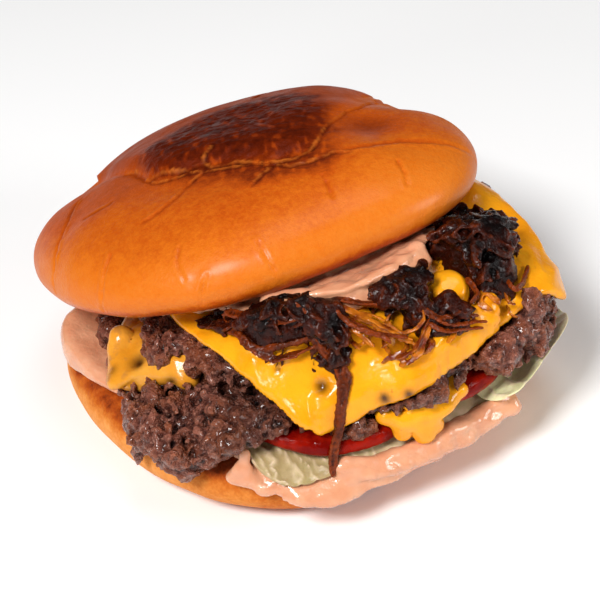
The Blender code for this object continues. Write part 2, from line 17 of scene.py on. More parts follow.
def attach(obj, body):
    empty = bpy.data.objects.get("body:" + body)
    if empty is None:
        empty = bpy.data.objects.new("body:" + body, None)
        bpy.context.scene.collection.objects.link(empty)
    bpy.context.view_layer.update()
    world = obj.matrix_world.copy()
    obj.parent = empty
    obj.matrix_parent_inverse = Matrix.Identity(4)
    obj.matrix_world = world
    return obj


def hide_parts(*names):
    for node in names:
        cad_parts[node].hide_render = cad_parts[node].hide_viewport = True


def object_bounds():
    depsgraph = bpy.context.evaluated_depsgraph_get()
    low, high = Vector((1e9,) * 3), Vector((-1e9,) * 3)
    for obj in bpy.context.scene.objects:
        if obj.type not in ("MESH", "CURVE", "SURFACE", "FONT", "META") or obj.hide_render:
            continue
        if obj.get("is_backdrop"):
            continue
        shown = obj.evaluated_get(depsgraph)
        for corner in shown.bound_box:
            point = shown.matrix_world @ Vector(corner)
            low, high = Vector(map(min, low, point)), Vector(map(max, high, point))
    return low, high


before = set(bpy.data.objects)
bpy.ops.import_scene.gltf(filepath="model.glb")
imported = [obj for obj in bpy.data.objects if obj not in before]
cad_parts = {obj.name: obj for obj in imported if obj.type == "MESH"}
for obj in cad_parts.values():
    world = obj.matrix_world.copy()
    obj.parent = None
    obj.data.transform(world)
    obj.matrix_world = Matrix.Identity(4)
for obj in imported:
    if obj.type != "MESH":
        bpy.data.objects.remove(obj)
cad_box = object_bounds()
MM = 0.001
noise.seed_set(3)
bpy.ops.object.select_all(action="DESELECT")
print("layers in the frame:", ", ".join(sorted(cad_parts)))

# %% [markdown]
# ## Camera, floor and light
# The camera looks down at the open front from a little above a seated eye, through a long lens, and
# it is rolled a few degrees, as the picture was. A long lens keeps the round buns from bulging. The
# main light is wide and soft, in front, above and to the left. Three weaker ones fill in from low in
# front, from the right and from above. The sky is faint, because a bright one would lay a grey haze
# over the dark onions and the meat, and the gaps between the layers would not stay dark.

# %% Camera
AIM = Vector((0.9, -1.7, 21.0))
CAMERA_HEIGHT = math.radians(37)
CAMERA_DISTANCE = 420
CAMERA_ROLL = math.radians(-5)
LENS = 104.7

back = Vector((0, -math.cos(CAMERA_HEIGHT), math.sin(CAMERA_HEIGHT)))
turn = (-back).to_track_quat("-Z", "Y").to_matrix() @ Matrix.Rotation(CAMERA_ROLL, 3, "Z")
place = (AIM + CAMERA_DISTANCE * back) * MM
bpy.ops.object.camera_add(location=place, rotation=turn.to_euler())
camera = bpy.context.object
camera.data.lens = LENS
camera.data.clip_start = 0.01
bpy.context.scene.camera = camera
print("camera at", [round(c, 3) for c in camera.location])

# %% Floor
bpy.ops.mesh.primitive_plane_add(size=6, location=(0, 0, 0))
floor = bpy.context.object
floor.name = "floor"
floor_finish = bpy.data.materials.new("pale_floor")
floor_finish.use_nodes = True
floor_finish.node_tree.nodes["Principled BSDF"].inputs["Base Color"].default_value = (0.97, 0.97, 0.97, 1)
floor_finish.node_tree.nodes["Principled BSDF"].inputs["Roughness"].default_value = 0.6
floor.data.materials.append(floor_finish)
floor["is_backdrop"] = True
print("floor laid")


# %% Lights
def soft_light(name, place, size, watts):
    """A square soft light, in metres and watts, that faces the burger."""
    bpy.ops.object.light_add(type="AREA", location=place)
    light = bpy.context.object
    light.name = name
    light.rotation_euler = (AIM * MM - Vector(place)).to_track_quat("-Z", "Y").to_euler()
    light.data.size = size
    light.data.energy = watts
    return light


soft_light("front_light", (-0.42, -0.62, 0.92), 0.32, 14.2)
soft_light("low_light", (-0.5, -0.95, 0.42), 0.16, 1.6)
soft_light("right_light", (0.8, -0.35, 0.4), 0.3, 3.6)
soft_light("top_light", (0.1, 0.05, 0.95), 0.35, 1.6)
sky = bpy.data.worlds.new("sky")
bpy.context.scene.world = sky
sky.use_nodes = True
sky.node_tree.nodes["Background"].inputs["Color"].default_value = (1.0, 0.94, 0.88, 1)
sky.node_tree.nodes["Background"].inputs["Strength"].default_value = 0.07
bpy.context.scene.view_settings.view_transform = "Standard"
print("four soft lights and a faint sky")

# %% [markdown]
# ## Shaping tools
# Each layer starts as a closed copy of its plain solid, so it has the right place and size. The copy
# gets an even skin of small faces, is smoothed, and is then pushed in and out. That is how a sculptor
# works: the big form first, then creases and lumps, then grain. At the very end, faces are merged
# where the skin is smooth, so that the whole burger stays light enough to handle.


# %% Selecting, modifiers and points
def select_only(piece):
    bpy.ops.object.select_all(action="DESELECT")
    piece.select_set(True)
    bpy.context.view_layer.objects.active = piece


def finish_with(piece, kind, **settings):
    """Adds a modifier with its settings and applies it."""
    select_only(piece)
    modifier = piece.modifiers.new(kind.lower(), kind)
    for setting, value in settings.items():
        setattr(modifier, setting, value)
    bpy.ops.object.modifier_apply(modifier=modifier.name)


def points_of(piece):
    """The piece's points as rows, in millimetres."""
    rows = np.empty(len(piece.data.vertices) * 3)
    piece.data.vertices.foreach_get("co", rows)
    return rows.reshape(-1, 3) / MM


def normals_of(piece):
    rows = np.empty(len(piece.data.vertices) * 3)
    piece.data.vertices.foreach_get("normal", rows)
    return rows.reshape(-1, 3)


def move_points(piece, places):
    piece.data.vertices.foreach_set("co", (np.asarray(places) * MM).ravel())
    piece.data.update()


def paint(piece, name, values):
    """Keeps one number for each point, which a material can read by its name."""
    layer = piece.data.attributes.new(name, "FLOAT", "POINT")
    layer.data.foreach_set("value", np.asarray(values, dtype=np.float32))


def triangles(piece):
    piece.data.calc_loop_triangles()
    return len(piece.data.loop_triangles)


print("plain solids:", sum(triangles(solid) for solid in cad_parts.values()), "triangles")


# %% A closed copy of a solid
def copy_of(solid, name, rounding=2):
    """A copy with its loose triangles merged, and rounded by subdivision."""
    piece = bpy.data.objects.new(name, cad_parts[solid].data.copy())
    bpy.context.scene.collection.objects.link(piece)
    piece.data.name = name
    select_only(piece)
    bpy.ops.object.mode_set(mode="EDIT")
    bpy.ops.mesh.select_all(action="SELECT")
    bpy.ops.mesh.remove_doubles(threshold=0.00001)
    bpy.ops.mesh.tris_convert_to_quads()
    bpy.ops.mesh.normals_make_consistent(inside=False)
    bpy.ops.object.mode_set(mode="OBJECT")
    if rounding:
        finish_with(piece, "SUBSURF", levels=rounding, render_levels=rounding)
    return piece


def even_skin(piece, face, smoothing):
    """Wraps the piece in small square faces and smooths it."""
    finish_with(piece, "REMESH", mode="VOXEL", voxel_size=face * MM)
    finish_with(piece, "SMOOTH", factor=0.5, iterations=smoothing)


MOST_TRIANGLES = {
    "crown": 140000, "heel": 50000, "lower_patty": 158000, "upper_patty": 168000,
    "lower_cheese": 50000, "upper_cheese": 80000, "lower_sauce": 65000, "upper_sauce": 32000,
    "front_leaf": 55000, "right_leaf": 20000, "left_tomato": 15000, "right_tomato": 15000,
    "onion_core": 90000, "onion_threads": 20000,
}


def dress(piece, solid, material):
    """The last step of each piece: fewer faces if needed, its finish, its place in the frame, and
    hiding the solid that it stands for.
    """
    most = MOST_TRIANGLES.get(piece.name, 0)
    if most and triangles(piece) > most:
        finish_with(piece, "DECIMATE", ratio=most / triangles(piece))
        piece.data.validate()
    piece.data.materials.clear()
    piece.data.materials.append(material)
    select_only(piece)
    bpy.ops.object.shade_smooth()
    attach(piece, "root")
    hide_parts(solid)
    print(piece.name, triangles(piece), "triangles")


print("limits set for", len(MOST_TRIANGLES), "pieces")


# %% Noise, distance and relief
def smoothstep(low, high, values):
    share = np.clip((np.asarray(values) - low) / (high - low), 0, 1)
    return share * share * (3 - 2 * share)


def swell(places, size, seed):
    """Smooth unevenness from -1 to 1 at each place, whose swells are about a size apart."""
    shift = Vector((seed, 2 * seed, 3 * seed))
    return np.array([noise.noise(Vector(p) / size + shift) for p in places])


def nearest_on(route, places):
    """The nearest point of a route through space to each place."""
    best = np.full(len(places), 1e9)
    found = np.zeros_like(places)
    for start, end in zip(route, route[1:]):
        start, run = np.asarray(start, float), np.subtract(end, start).astype(float)
        share = np.clip((places - start) @ run / (run @ run), 0, 1)
        spots = start + share[:, None] * run
        away = np.linalg.norm(places - spots, axis=1)
        closer = away < best
        best[closer] = away[closer]
        found[closer] = spots[closer]
    return found


def smooth_route(route, step):
    """Places a step apart along a smooth curve through a route's places."""
    ends = [route[0]] + [tuple(p) for p in route] + [route[-1]]
    places = []
    for p0, p1, p2, p3 in zip(ends, ends[1:], ends[2:], ends[3:]):
        p0, p1, p2, p3 = (np.array(p, float) for p in (p0, p1, p2, p3))
        count = max(2, int(np.linalg.norm(p2 - p1) / step))
        for t in np.arange(count) / count:
            bend = 2 * p0 - 5 * p1 + 4 * p2 - p3 + t * (3 * (p1 - p2) + p3 - p0)
            places.append(p1 + 0.5 * t * (p2 - p0 + t * bend))
    return places + [np.array(route[-1], float)]


def relief(piece, reach):
    """How far each point stands above the same surface when it is smoothed out."""
    plain = bpy.data.objects.new("plain", piece.data.copy())
    bpy.context.scene.collection.objects.link(plain)
    finish_with(plain, "SMOOTH", factor=0.5, iterations=reach)
    above = ((points_of(piece) - points_of(plain)) * normals_of(plain)).sum(axis=1)
    bpy.data.objects.remove(plain)
    return above


def roughen(piece, size, height):
    """Pushes the surface in and out along its normals by a cloudy texture."""
    texture = bpy.data.textures.new("rough", "CLOUDS")
    texture.noise_scale = size * MM
    finish_with(piece, "DISPLACE", texture=texture, texture_coords="LOCAL", strength=height * MM,
                mid_level=0.5)
    bpy.data.textures.remove(texture)


print("a route round a corner:", len(smooth_route([(0, 0, 0), (9, 0, 0), (9, 9, 0)], 1)), "places")


# %% [markdown]
# ## Material tools
# A material is a small network of nodes. Two patterns come back on most of the food, so each is
# built once as a group: patches of uneven strength, and a film of fat or juice that makes some places
# shine more. Each material puts its own values in.


# %% Nodes and groups
def node(tree, kind, inputs=None, **settings):
    """One node, with values or other nodes' outputs in its inputs."""
    made = tree.nodes.new("ShaderNode" + kind)
    for setting, value in settings.items():
        setattr(made, setting, value)
    for name, value in (inputs or {}).items():
        if isinstance(value, bpy.types.NodeSocket):
            tree.links.new(value, made.inputs[name])
        else:
            made.inputs[name].default_value = value
    return made


def new_group(name, inputs, outputs):
    """An empty node group with float sockets, and its two ends."""
    group = bpy.data.node_groups.new(name, "ShaderNodeTree")
    for socket, value in inputs.items():
        made = group.interface.new_socket(socket, in_out="INPUT", socket_type="NodeSocketFloat")
        made.default_value = value
    for socket in outputs:
        group.interface.new_socket(socket, in_out="OUTPUT", socket_type="NodeSocketFloat")
    start = group.nodes.new("NodeGroupInput")
    end = group.nodes.new("NodeGroupOutput")
    return group, start, end


def ramp(tree, value, stops, mode="LINEAR"):
    """A run of colours along a value from 0 to 1."""
    made = node(tree, "ValToRGB", {"Fac": value})
    made.color_ramp.interpolation = mode
    line = made.color_ramp.elements
    while len(line) < len(stops):
        line.new(0.5)
    for element, (at, colour) in zip(line, stops):
        element.position = at
        element.color = (*colour, 1)
    return made.outputs["Color"]


def blend(tree, share, low, high, mode="MIX"):
    """Two colours or a colour and a socket, mixed by a share."""
    made = node(tree, "Mix", data_type="RGBA", blend_type=mode)
    for index, value in ((0, share), (6, low), (7, high)):
        if isinstance(value, bpy.types.NodeSocket):
            tree.links.new(value, made.inputs[index])
        else:
            made.inputs[index].default_value = (*value, 1) if index else value
    return made.outputs[2]


def maths(tree, what, first, second):
    made = node(tree, "Math", {0: first, 1: second}, operation=what)
    return made.outputs[0]


patches, start, end = new_group("patches", {"Size": 5, "Low": 0.4, "High": 0.6, "Detail": 4}, ["Mask"])
spot = node(patches, "TexCoord").outputs["Object"]
scale = maths(patches, "DIVIDE", 1000, start.outputs["Size"])
cloud = node(patches, "TexNoise", {"Vector": spot, "Scale": scale, "Detail": start.outputs["Detail"]})
mask = node(patches, "MapRange", {"Value": cloud.outputs["Fac"], "From Min": start.outputs["Low"],
                                  "From Max": start.outputs["High"]}, interpolation_type="SMOOTHSTEP")
patches.links.new(mask.outputs[0], end.inputs["Mask"])

film, start, end = new_group("wet_film", {"Size": 4, "Wet": 0.15, "Dry": 0.5}, ["Roughness", "Height"])
spot = node(film, "TexCoord").outputs["Object"]
scale = maths(film, "DIVIDE", 1000, start.outputs["Size"])
cloud = node(film, "TexNoise", {"Vector": spot, "Scale": scale, "Detail": 3.0})
level = node(film, "MapRange", {"Value": cloud.outputs["Fac"], "From Min": 0.35, "From Max": 0.65,
                                "To Min": start.outputs["Wet"], "To Max": start.outputs["Dry"]})
film.links.new(level.outputs[0], end.inputs["Roughness"])
film.links.new(cloud.outputs["Fac"], end.inputs["Height"])
print("groups:", [g.name for g in bpy.data.node_groups])


# %% Starting a material
def new_material(name):
    material = bpy.data.materials.new(name)
    material.use_nodes = True
    return material, material.node_tree, material.node_tree.nodes["Principled BSDF"]


def shifted(tree, share, mask, much):
    """A share moved up and down a little by a mask."""
    return maths(tree, "ADD", share, maths(tree, "MULTIPLY", maths(tree, "SUBTRACT", mask, 0.5), much))


def use(tree, group, values):
    made = node(tree, "Group")
    made.node_tree = group
    for name, value in values.items():
        made.inputs[name].default_value = value
    return made


def painted(tree, name):
    """A material's way to read what paint() kept."""
    return node(tree, "Attribute", attribute_name=name).outputs["Fac"]


def grain(tree, shader, heights, distance):
    """Bump from several (size in millimetres, share) noises and sockets, set on the shader."""
    total = None
    for size, share in heights:
        if isinstance(size, bpy.types.NodeSocket):
            height = size
        else:
            spot = node(tree, "TexCoord").outputs["Object"]
            cloud = node(tree, "TexNoise", {"Vector": spot, "Scale": 1000 / size, "Detail": 3.0})
            height = cloud.outputs["Fac"]
        part = maths(tree, "MULTIPLY", height, share)
        total = part if total is None else maths(tree, "ADD", total, part)
    bump = node(tree, "Bump", {"Height": total, "Strength": 1.0, "Distance": distance * MM})
    tree.links.new(bump.outputs["Normal"], shader.inputs["Normal"])


print("materials so far:", len(bpy.data.materials))

# %% [markdown]
# ## Crown
# The crown is a soft enriched bun. Its front rolled over in baking, so a fat smooth lip lies in
# front of a flatter top that browned almost to mahogany. Pale lines run where the skin folded; their
# pale colour is partly paler stretched skin and partly a painted highlight on the lifted ridge. The
# lines are drawn as routes in the crown's own coordinates, which start at the middle of its cut face.
# The skin is lifted along each line and sunk just beside it, and along a crack it is only sunk. The
# sunk skin is also painted darker, which is painted shade. A texture could draw such lines, but only
# real relief catches the light from every side.

# %% Crown form
CROWN_CENTRE = np.array((-7.89, 8.205, 38.2))
CROWN_TIP_BACK = 13.2
CROWN_LEAN = 11.8
lean = Matrix.Rotation(math.radians(-CROWN_LEAN), 3, "Y")
CROWN_TURN = np.array(lean @ Matrix.Rotation(math.radians(-CROWN_TIP_BACK), 3, "X"))

crown = copy_of("bun_top", "crown")
even_skin(crown, 0.56, 7)
print("crown skin", triangles(crown), "triangles")

# %% Crown routes
FOLD = [(-38, 20, 13), (-33.5, 10, 17), (-26.6, 0.4, 20.4), (-23.5, -3.2, 21.1), (-19.5, -10, 21.2),
        (-16, -14.3, 21.4), (-12.2, -15.6, 22), (-6, -15.6, 23.3), (-1.4, -17.2, 23.1),
        (7.1, -19.6, 22.2), (11.1, -22, 21.5), (17.9, -20.1, 21.4), (21.8, -16.1, 21.8),
        (23.2, -9.2, 22.1), (27.9, 5.8, 20.8), (30.7, 19.2, 16.9), (33, 30, 10)]
DOME_BACK = [(30, 60, 0), (-40, 60, 0)]
UPPER_LINE = [(-25.5, -1.6, 20.8), (-22.9, -3.9, 21.2), (-19.5, -11.5, 21.1), (-16.5, -12.7, 21.7),
              (-13.3, -14.4, 22.2), (-8.7, -16.4, 22.7), (-5.2, -15.8, 23.4), (-3.2, -18.7, 22.7),
              (3.1, -19.3, 22.4), (9, -22.3, 21.6), (15.8, -23.3, 20.8), (19.8, -20.8, 21.1),
              (21.5, -16.9, 21.7), (22.8, -11.8, 22), (24.2, -8, 22), (26.3, -4.6, 21.7),
              (28.2, 0.9, 20.6), (31.2, 4.5, 19.6), (33.8, 17.2, 15.4)]
LOWER_LINE = [(-19.5, -11.5, 21.1), (-17.1, -14.9, 21), (-12.6, -16.8, 21.7), (-8.8, -17.7, 22.2),
              (-5.4, -19.4, 22.1), (-2.5, -20.3, 22.1), (3.9, -21.4, 21.7), (7.2, -22.4, 21.4),
              (10.4, -23.8, 21.2)]
RIGHT_FOLD = [(11.9, -23.8, 20.9), (14.7, -25.9, 20.1), (19, -25.3, 20.1), (24.3, -23.9, 20),
              (27.6, -23.9, 19.6)]
SIDE_LINE = [(28.7, -24.2, 19.4), (33.4, -23.5, 18.5), (39.1, -20.5, 16.6), (44.4, -20.2, 15.2),
             (48.4, -19.3, 13.2), (54.1, -16.6, 7.2)]
SEAM = [(-5.4, -19.4, 22.1), (-8, -21.9, 20.8), (-10.1, -23.8, 20.4), (-12.1, -27.4, 20.5),
        (-15.7, -30, 19.6), (-19.3, -31.2, 18.6)]
TOP_SEAM = [(-5.2, -15.8, 23.4), (-4.3, -13.7, 23.7), (-2.7, -12.6, 23.8)]
BRANCH = [(10.3, -24.9, 20.9), (9.4, -26.7, 20.7), (8, -28, 20.6), (6, -31.2, 20.2)]
DARK_SKIN = [(-21, -3), (-17, -14.6), (-11.5, -19.6), (-2.4, -26), (5.6, -29.6), (13.4, -30),
             (22.2, -30), (27, -26), (23.5, -15.8), (24, -4.3), (21, 12), (14, 22), (2, 24), (-10, 18),
             (-17, 8)]
LEFT_LINE = [(-37.6, -5.1, 18.3), (-38.4, -6.6, 17.9), (-40.1, -14, 16.1), (-42.2, -20.4, 13.6),
             (-43.6, -25.4, 10.5), (-44.9, -26.9, 6.4)]
SHORT_LINE = [(-28.5, -17.1, 19.8), (-31.4, -17.3, 19.1), (-34.4, -17.1, 18.1)]
LOW_LINES = [[(-27.8, -36.4, 14.6), (-29.6, -39, 12.3), (-31, -41.3, 9.1), (-33, -40.5, 2.8)],
             [(-6.3, -50.3, 9.8), (-7.5, -50.8, 8), (-9.2, -51.1, 4.8), (-8.6, -51, 2.5)],
             [(6, -47, 13), (6.6, -48.4, 11.3), (7.2, -49.9, 9.4), (8.2, -50.8, 5.9)],
             [(-11, -43.2, 15.2), (-12.3, -46.4, 12.9), (-11.3, -49.7, 9.7)],
             [(21.5, -32, 18.3), (22.4, -35, 16.8), (22.8, -38, 15)],
             [(38, -28.1, 15.7), (39, -31.7, 13.9), (39, -34.7, 12)]]
BACK_LINES = [[(-18, 34, 15), (-20, 42, 10)], [(4, 30, 20), (8, 40, 15), (14, 48, 9)],
              [(34, 22, 15), (36, 34, 9), (38, 37, 4)]]
print(len(LOW_LINES), "cracks low in front and", len(BACK_LINES), "lines behind")

# %% Crown creases
skin = points_of(crown)
normals = normals_of(crown)
own = (skin - CROWN_CENTRE) @ CROWN_TURN
push = np.zeros(len(own))
pale = np.zeros(len(own))
# Where the sunk skin of creases and cracks is painted darker, as painted shade.
crease_shade = np.zeros(len(own))


def crease(route, toward, lift, sink, width):
    """Lifts the skin along a route and sinks it on the side that it faces. The ridge is painted
    pale, partly as a stretch line and partly as a painted highlight, and the sunk side is painted
    darker, as painted shade.
    """
    foot = nearest_on(route, own)
    away = np.linalg.norm(own - foot, axis=1) + 0.35 * swell(own, 2.4, 5) + 0.25 * swell(own, 0.9, 6)
    side = np.where((own - foot) @ np.array(toward, float) > 0, 1, -1) * away
    fade = np.clip(0.75 + 0.9 * swell(own, 3, 15), 0.1, 1.2)
    push[:] += lift * fade * np.exp(-((side / width) ** 2))
    push[:] -= sink * np.exp(-(((side - 1.7 * width) / (1.3 * width)) ** 2))
    pale[:] = np.maximum(pale, fade * np.exp(-((side / (0.75 * width)) ** 2)))
    crease_shade[:] = np.maximum(crease_shade, np.exp(-(((side - 1.7 * width) / (1.5 * width)) ** 2)))


def crack(route, sink, width):
    """Sinks the skin along a route and paints it darker there, as a thin line of painted shade that
    fades at its ends.
    """
    away = np.linalg.norm(own - nearest_on(route, own), axis=1) + 0.3 * swell(own, 1.6, 5)
    near = np.exp(-((away / width) ** 2))
    push[:] -= sink * near
    push[:] += 0.12 * np.exp(-(((away - 2.6 * width) / (1.6 * width)) ** 2))
    crease_shade[:] = np.maximum(crease_shade, 0.8 * near)


def inside(route, places):
    """Whether each place is inside a closed route, seen from above."""
    east, north = places[:, 0], places[:, 1]
    within = np.zeros(len(places), bool)
    for (x0, y0, _), (x1, y1, _) in zip(route, route[1:] + route[:1]):
        if y0 != y1:
            crossed = (y0 > north) != (y1 > north)
            within ^= crossed & (east < (x1 - x0) * (north - y0) / (y1 - y0) + x0)
    return within


def depth_in(outline, places):
    """How deep each place is inside an outline, seen from above, or less than 0 outside."""
    flat = places * (1, 1, 0)
    line = [(x, y, 0) for x, y in outline + outline[:1]]
    away = np.linalg.norm(flat - nearest_on(line, flat), axis=1)
    return np.where(inside(line, flat), away, -away)


crease(UPPER_LINE, (0.1, -1, 0), 0.24, 0.35, 0.34)
crease(LOWER_LINE, (0.1, -1, 0), 0.22, 0.3, 0.32)
crease(RIGHT_FOLD, (0, -1, 0), 0.2, 0.5, 0.36)
crease(SEAM, (0.7, -0.7, 0), 0.28, 0.3, 0.4)
crease(TOP_SEAM, (1, 0, 0), 0.2, 0.2, 0.35)
crease(BRANCH, (1, 0, 0), 0.2, 0.3, 0.36)
crease(SIDE_LINE, (0, 1, 0), 0.2, 0.3, 0.7)
crease(LEFT_LINE, (-1, 0.2, 0), 0.3, 0.3, 0.45)
crease(SHORT_LINE, (0, -1, 0), 0.25, 0.2, 0.4)
for line in LOW_LINES:
    crack(line, 0.45, 0.34)
for line in BACK_LINES:
    crease(line, (1, 0, 0), 0.3, 0.4, 0.7)
print("crease relief from", round(push.min(), 2), "to", round(push.max(), 2), "mm")

# %% [markdown]
# Behind the fold the top swells up as a second dome, and the collar round it rolls over. Which side
# of the fold a point is on decides whether it rises. The browning isn't painted by hand. It grows
# where a real crust browns: on the flat top, near the oven's heat, less on the sides, and hardly on
# the lip, with a band of darker skin in the fold's shadow. The sunk dimple at the right is also
# painted darker, which is painted shade in the hollow, and so is the sunk skin along the creases.

# %% Crown dome
foot = nearest_on(FOLD, own)
behind = np.where(inside(FOLD + DOME_BACK, own), 1, -1) * np.linalg.norm(own - foot, axis=1)
above_rim = smoothstep(7, 14, own[:, 2])
full = 1 - 0.75 * smoothstep(12, 26, own[:, 0])
push += above_rim * full * 1.4 * smoothstep(-0.5, 4.5, behind) * (1 - 0.8 * smoothstep(6, 22, behind))
push -= above_rim * full * 0.5 * np.exp(-(((behind + 1) / 1.6) ** 2))
print("fold from", round(behind.min(), 1), "to", round(behind.max(), 1), "mm behind")

# %% Crown browning
east, north, up = own.T
top_share = smoothstep(8, 19, up)
dark_depth = depth_in(DARK_SKIN, own) + 2.2 * swell(own, 6, 3) + 1.4 * swell(own * (1, 0.5, 1), 1.8, 4)
mahogany = smoothstep(-3.5, 5, dark_depth)
dome = smoothstep(-0.5, 2.5, behind)
lip = smoothstep(10, 26, -north) * (1 - dome)
browning_and_shade = 0.32 + 0.15 * top_share + 0.34 * mahogany * top_share - 0.09 * lip
browning_and_shade += 0.10 * dome * above_rim
browning_and_shade += mahogany * (0.10 * swell(own, 5, 11) + 0.08 * swell(own, 1.6, 12))
# The dimple is sunk and painted darker: painted shade in the hollow.
dimple = np.exp(-(((east - 33) / 5.5) ** 2) - ((north + 8) / 5.5) ** 2) * top_share
browning_and_shade += 0.24 * dimple + 0.03 * swell(own, 14, 1) - 0.07 * smoothstep(22, 32, east) * top_share
browning_and_shade += 0.34 * smoothstep(4.6, 1.6, up + 0.5 * swell(own, 2, 9)) * smoothstep(0, -20, north)
browning_and_shade -= 0.2 * mahogany * smoothstep(0.1, 0.5, swell(own * (1, 0.45, 1), 1.3, 21))
browning_and_shade -= 0.08 * smoothstep(4, 1, up) + 0.05 * smoothstep(25, 45, east) * (1 - top_share)
wrinkles = 1 - 2 * np.abs(swell(own * (1, 1.6, 1), 3.2, 2))
wrinkles = 0.18 * wrinkles + 0.3 * swell(own, 6, 6) + 0.15 * swell(own, 1.4, 7)
push += mahogany * top_share * wrinkles - 0.9 * dimple
push += 0.25 * swell(own, 12, 8)
move_points(crown, skin + normals * push[:, None])
# The colour is darkened in the sunk skin of the creases and cracks, as painted shade.
paint(crown, "browning_and_shade", np.clip(browning_and_shade + 0.14 * crease_shade * top_share, 0, 1))
paint(crown, "pale", np.clip(pale, 0, 1) * (0.35 + 0.65 * smoothstep(0.3, 0.5, browning_and_shade)))
paint(crown, "gloss", 0.3 * mahogany + 0.5 * lip)
paint(crown, "sheen", 0.35 * smoothstep(-4, 6, -behind) * smoothstep(0, 14, -north))
print("browning from", round(browning_and_shade.min(), 2), "to", round(browning_and_shade.max(), 2))

# %% [markdown]
# The crust's colour is one ramp from pale gold to nearly black, read by how much each point browned
# and by the painted shade in the creases and the dimple, so every place on the bun has a colour that
# baking could give it. Two fine patterns of patches shift the browning a little. The lip in front has
# a faint clear coat, like a wash of egg.

# %% Crust material
crust, tree, shader = new_material("baked_crust")
baked = painted(tree, "browning_and_shade")
mottle = use(tree, patches, {"Size": 2.6, "Low": 0.3, "High": 0.7}).outputs["Mask"]
streaks = use(tree, patches, {"Size": 0.9, "Low": 0.35, "High": 0.65, "Detail": 5}).outputs["Mask"]
share = shifted(tree, shifted(tree, baked, mottle, 0.05), streaks, 0.05)
# The darker stops also colour the painted shade in the creases and the dimple.
BAKE_AND_SHADE_RAMP = [(0.10, (0.64, 0.18, 0.018)), (0.28, (0.61, 0.136, 0.007)), (0.42, (0.47, 0.072, 0.003)),
         (0.58, (0.30, 0.040, 0.002)), (0.76, (0.135, 0.013, 0.001)), (1.0, (0.05, 0.004, 0.0005))]
colour = ramp(tree, share, BAKE_AND_SHADE_RAMP)
colour = blend(tree, maths(tree, "MULTIPLY", painted(tree, "pale"), 0.6), colour, (0.60, 0.155, 0.018))
tree.links.new(colour, shader.inputs["Base Color"])
sheen = use(tree, film, {"Size": 6, "Wet": 0.40, "Dry": 0.58})
gloss = maths(tree, "MULTIPLY", painted(tree, "gloss"), -0.24)
tree.links.new(maths(tree, "ADD", sheen.outputs["Roughness"], gloss), shader.inputs["Roughness"])
shader.inputs["Specular IOR Level"].default_value = 0.06
tree.links.new(painted(tree, "sheen"), shader.inputs["Coat Weight"])
shader.inputs["Coat Roughness"].default_value = 0.26
shader.inputs["Coat IOR"].default_value = 1.35
grain(tree, shader, [(0.45, 0.5), (1.6, 0.6), (sheen.outputs["Height"], 0.6)], 0.3)
dress(crown, "bun_top", crust)

# %% [markdown]
# ## Heel
# The heel is the bun's flat bottom half. Its side is pale, matt and slightly pink where it lay in
# the tin, and its cut rim was toasted on the griddle: orange brown, cracked and a little crumbly.
# Its front is painted darker, which is painted shade, and a line on its top front rim under the sauce
# is painted darker too.

# %% Heel form and toast
HEEL_CENTRE = np.array((-2.29, -1.695, 0))
heel = copy_of("bun_bottom", "heel")
even_skin(heel, 0.75, 5)
skin = points_of(heel)
normals = normals_of(heel)
out = np.hypot(*(skin - HEEL_CENTRE)[:, :2].T)
angle = np.degrees(np.arctan2(skin[:, 1] - HEEL_CENTRE[1], skin[:, 0] - HEEL_CENTRE[0]))
edge = smoothstep(10.5, 15, skin[:, 2] + 1.2 * swell(skin, 5, 2)) * smoothstep(40, 50, out)
rough = swell(skin, 1.7, 4) + 0.6 * swell(skin, 0.9, 9)
foot_line = smoothstep(0.4, 3, skin[:, 2])
push = edge * (0.35 * rough + 0.5 * swell(skin, 5, 3)) + foot_line * 0.3 * swell(skin, 11, 6)
push -= 0.5 * edge * smoothstep(0.25, 0.5, swell(skin * (1, 1, 0.4), 4.2, 12))
move_points(heel, skin + normals * push[:, None])
toast_and_shade = edge * (0.75 + 0.35 * swell(skin, 3, 8)) + 0.12 * smoothstep(6, 12, skin[:, 2])
# The term in angle paints the front of the heel darker, as painted shade.
toast_and_shade += 0.25 * np.exp(-(((skin[:, 2] - 1.2) / 1.3) ** 2)) + 0.42 * np.exp(-(((angle + 82) / 34) ** 2))
toast_and_shade += 0.10 * swell(skin, 9, 14)
# A listed line on the top front rim, under the sauce, is painted darker.
DARK_RIM_LINE = [(-30, -54, 14.6), (-24, -56.6, 14.4), (-18, -58, 14.2), (-12, -59, 13.6), (-8, -59.4, 12.8)]
dark_rim_away = np.linalg.norm(skin - nearest_on(DARK_RIM_LINE, skin), axis=1) + 0.8 * swell(skin, 2, 5)
toast_and_shade += 0.7 * np.exp(-((dark_rim_away / 1.5) ** 2))
paint(heel, "browning_and_shade", np.clip(toast_and_shade, 0, 1))
print("heel toast from", round(toast_and_shade.min(), 2), "to", round(toast_and_shade.max(), 2))

# %% Heel material
pale_crust, tree, shader = new_material("pale_crust")
mottle = use(tree, patches, {"Size": 3.5, "Low": 0.3, "High": 0.7}).outputs["Mask"]
fine = use(tree, patches, {"Size": 0.8, "Low": 0.35, "High": 0.65, "Detail": 5}).outputs["Mask"]
share = shifted(tree, shifted(tree, painted(tree, "browning_and_shade"), mottle, 0.16), fine, 0.12)
TOAST_AND_SHADE_RAMP = [(0.0, (0.78, 0.31, 0.080)), (0.25, (0.66, 0.215, 0.036)), (0.5, (0.52, 0.125, 0.013)),
           (0.75, (0.38, 0.065, 0.006)), (1.0, (0.17, 0.025, 0.004))]
colour = ramp(tree, share, TOAST_AND_SHADE_RAMP)
tree.links.new(colour, shader.inputs["Base Color"])
shader.inputs["Roughness"].default_value = 0.6
shader.inputs["Specular IOR Level"].default_value = 0.08
shader.inputs["Subsurface Weight"].default_value = 0.05
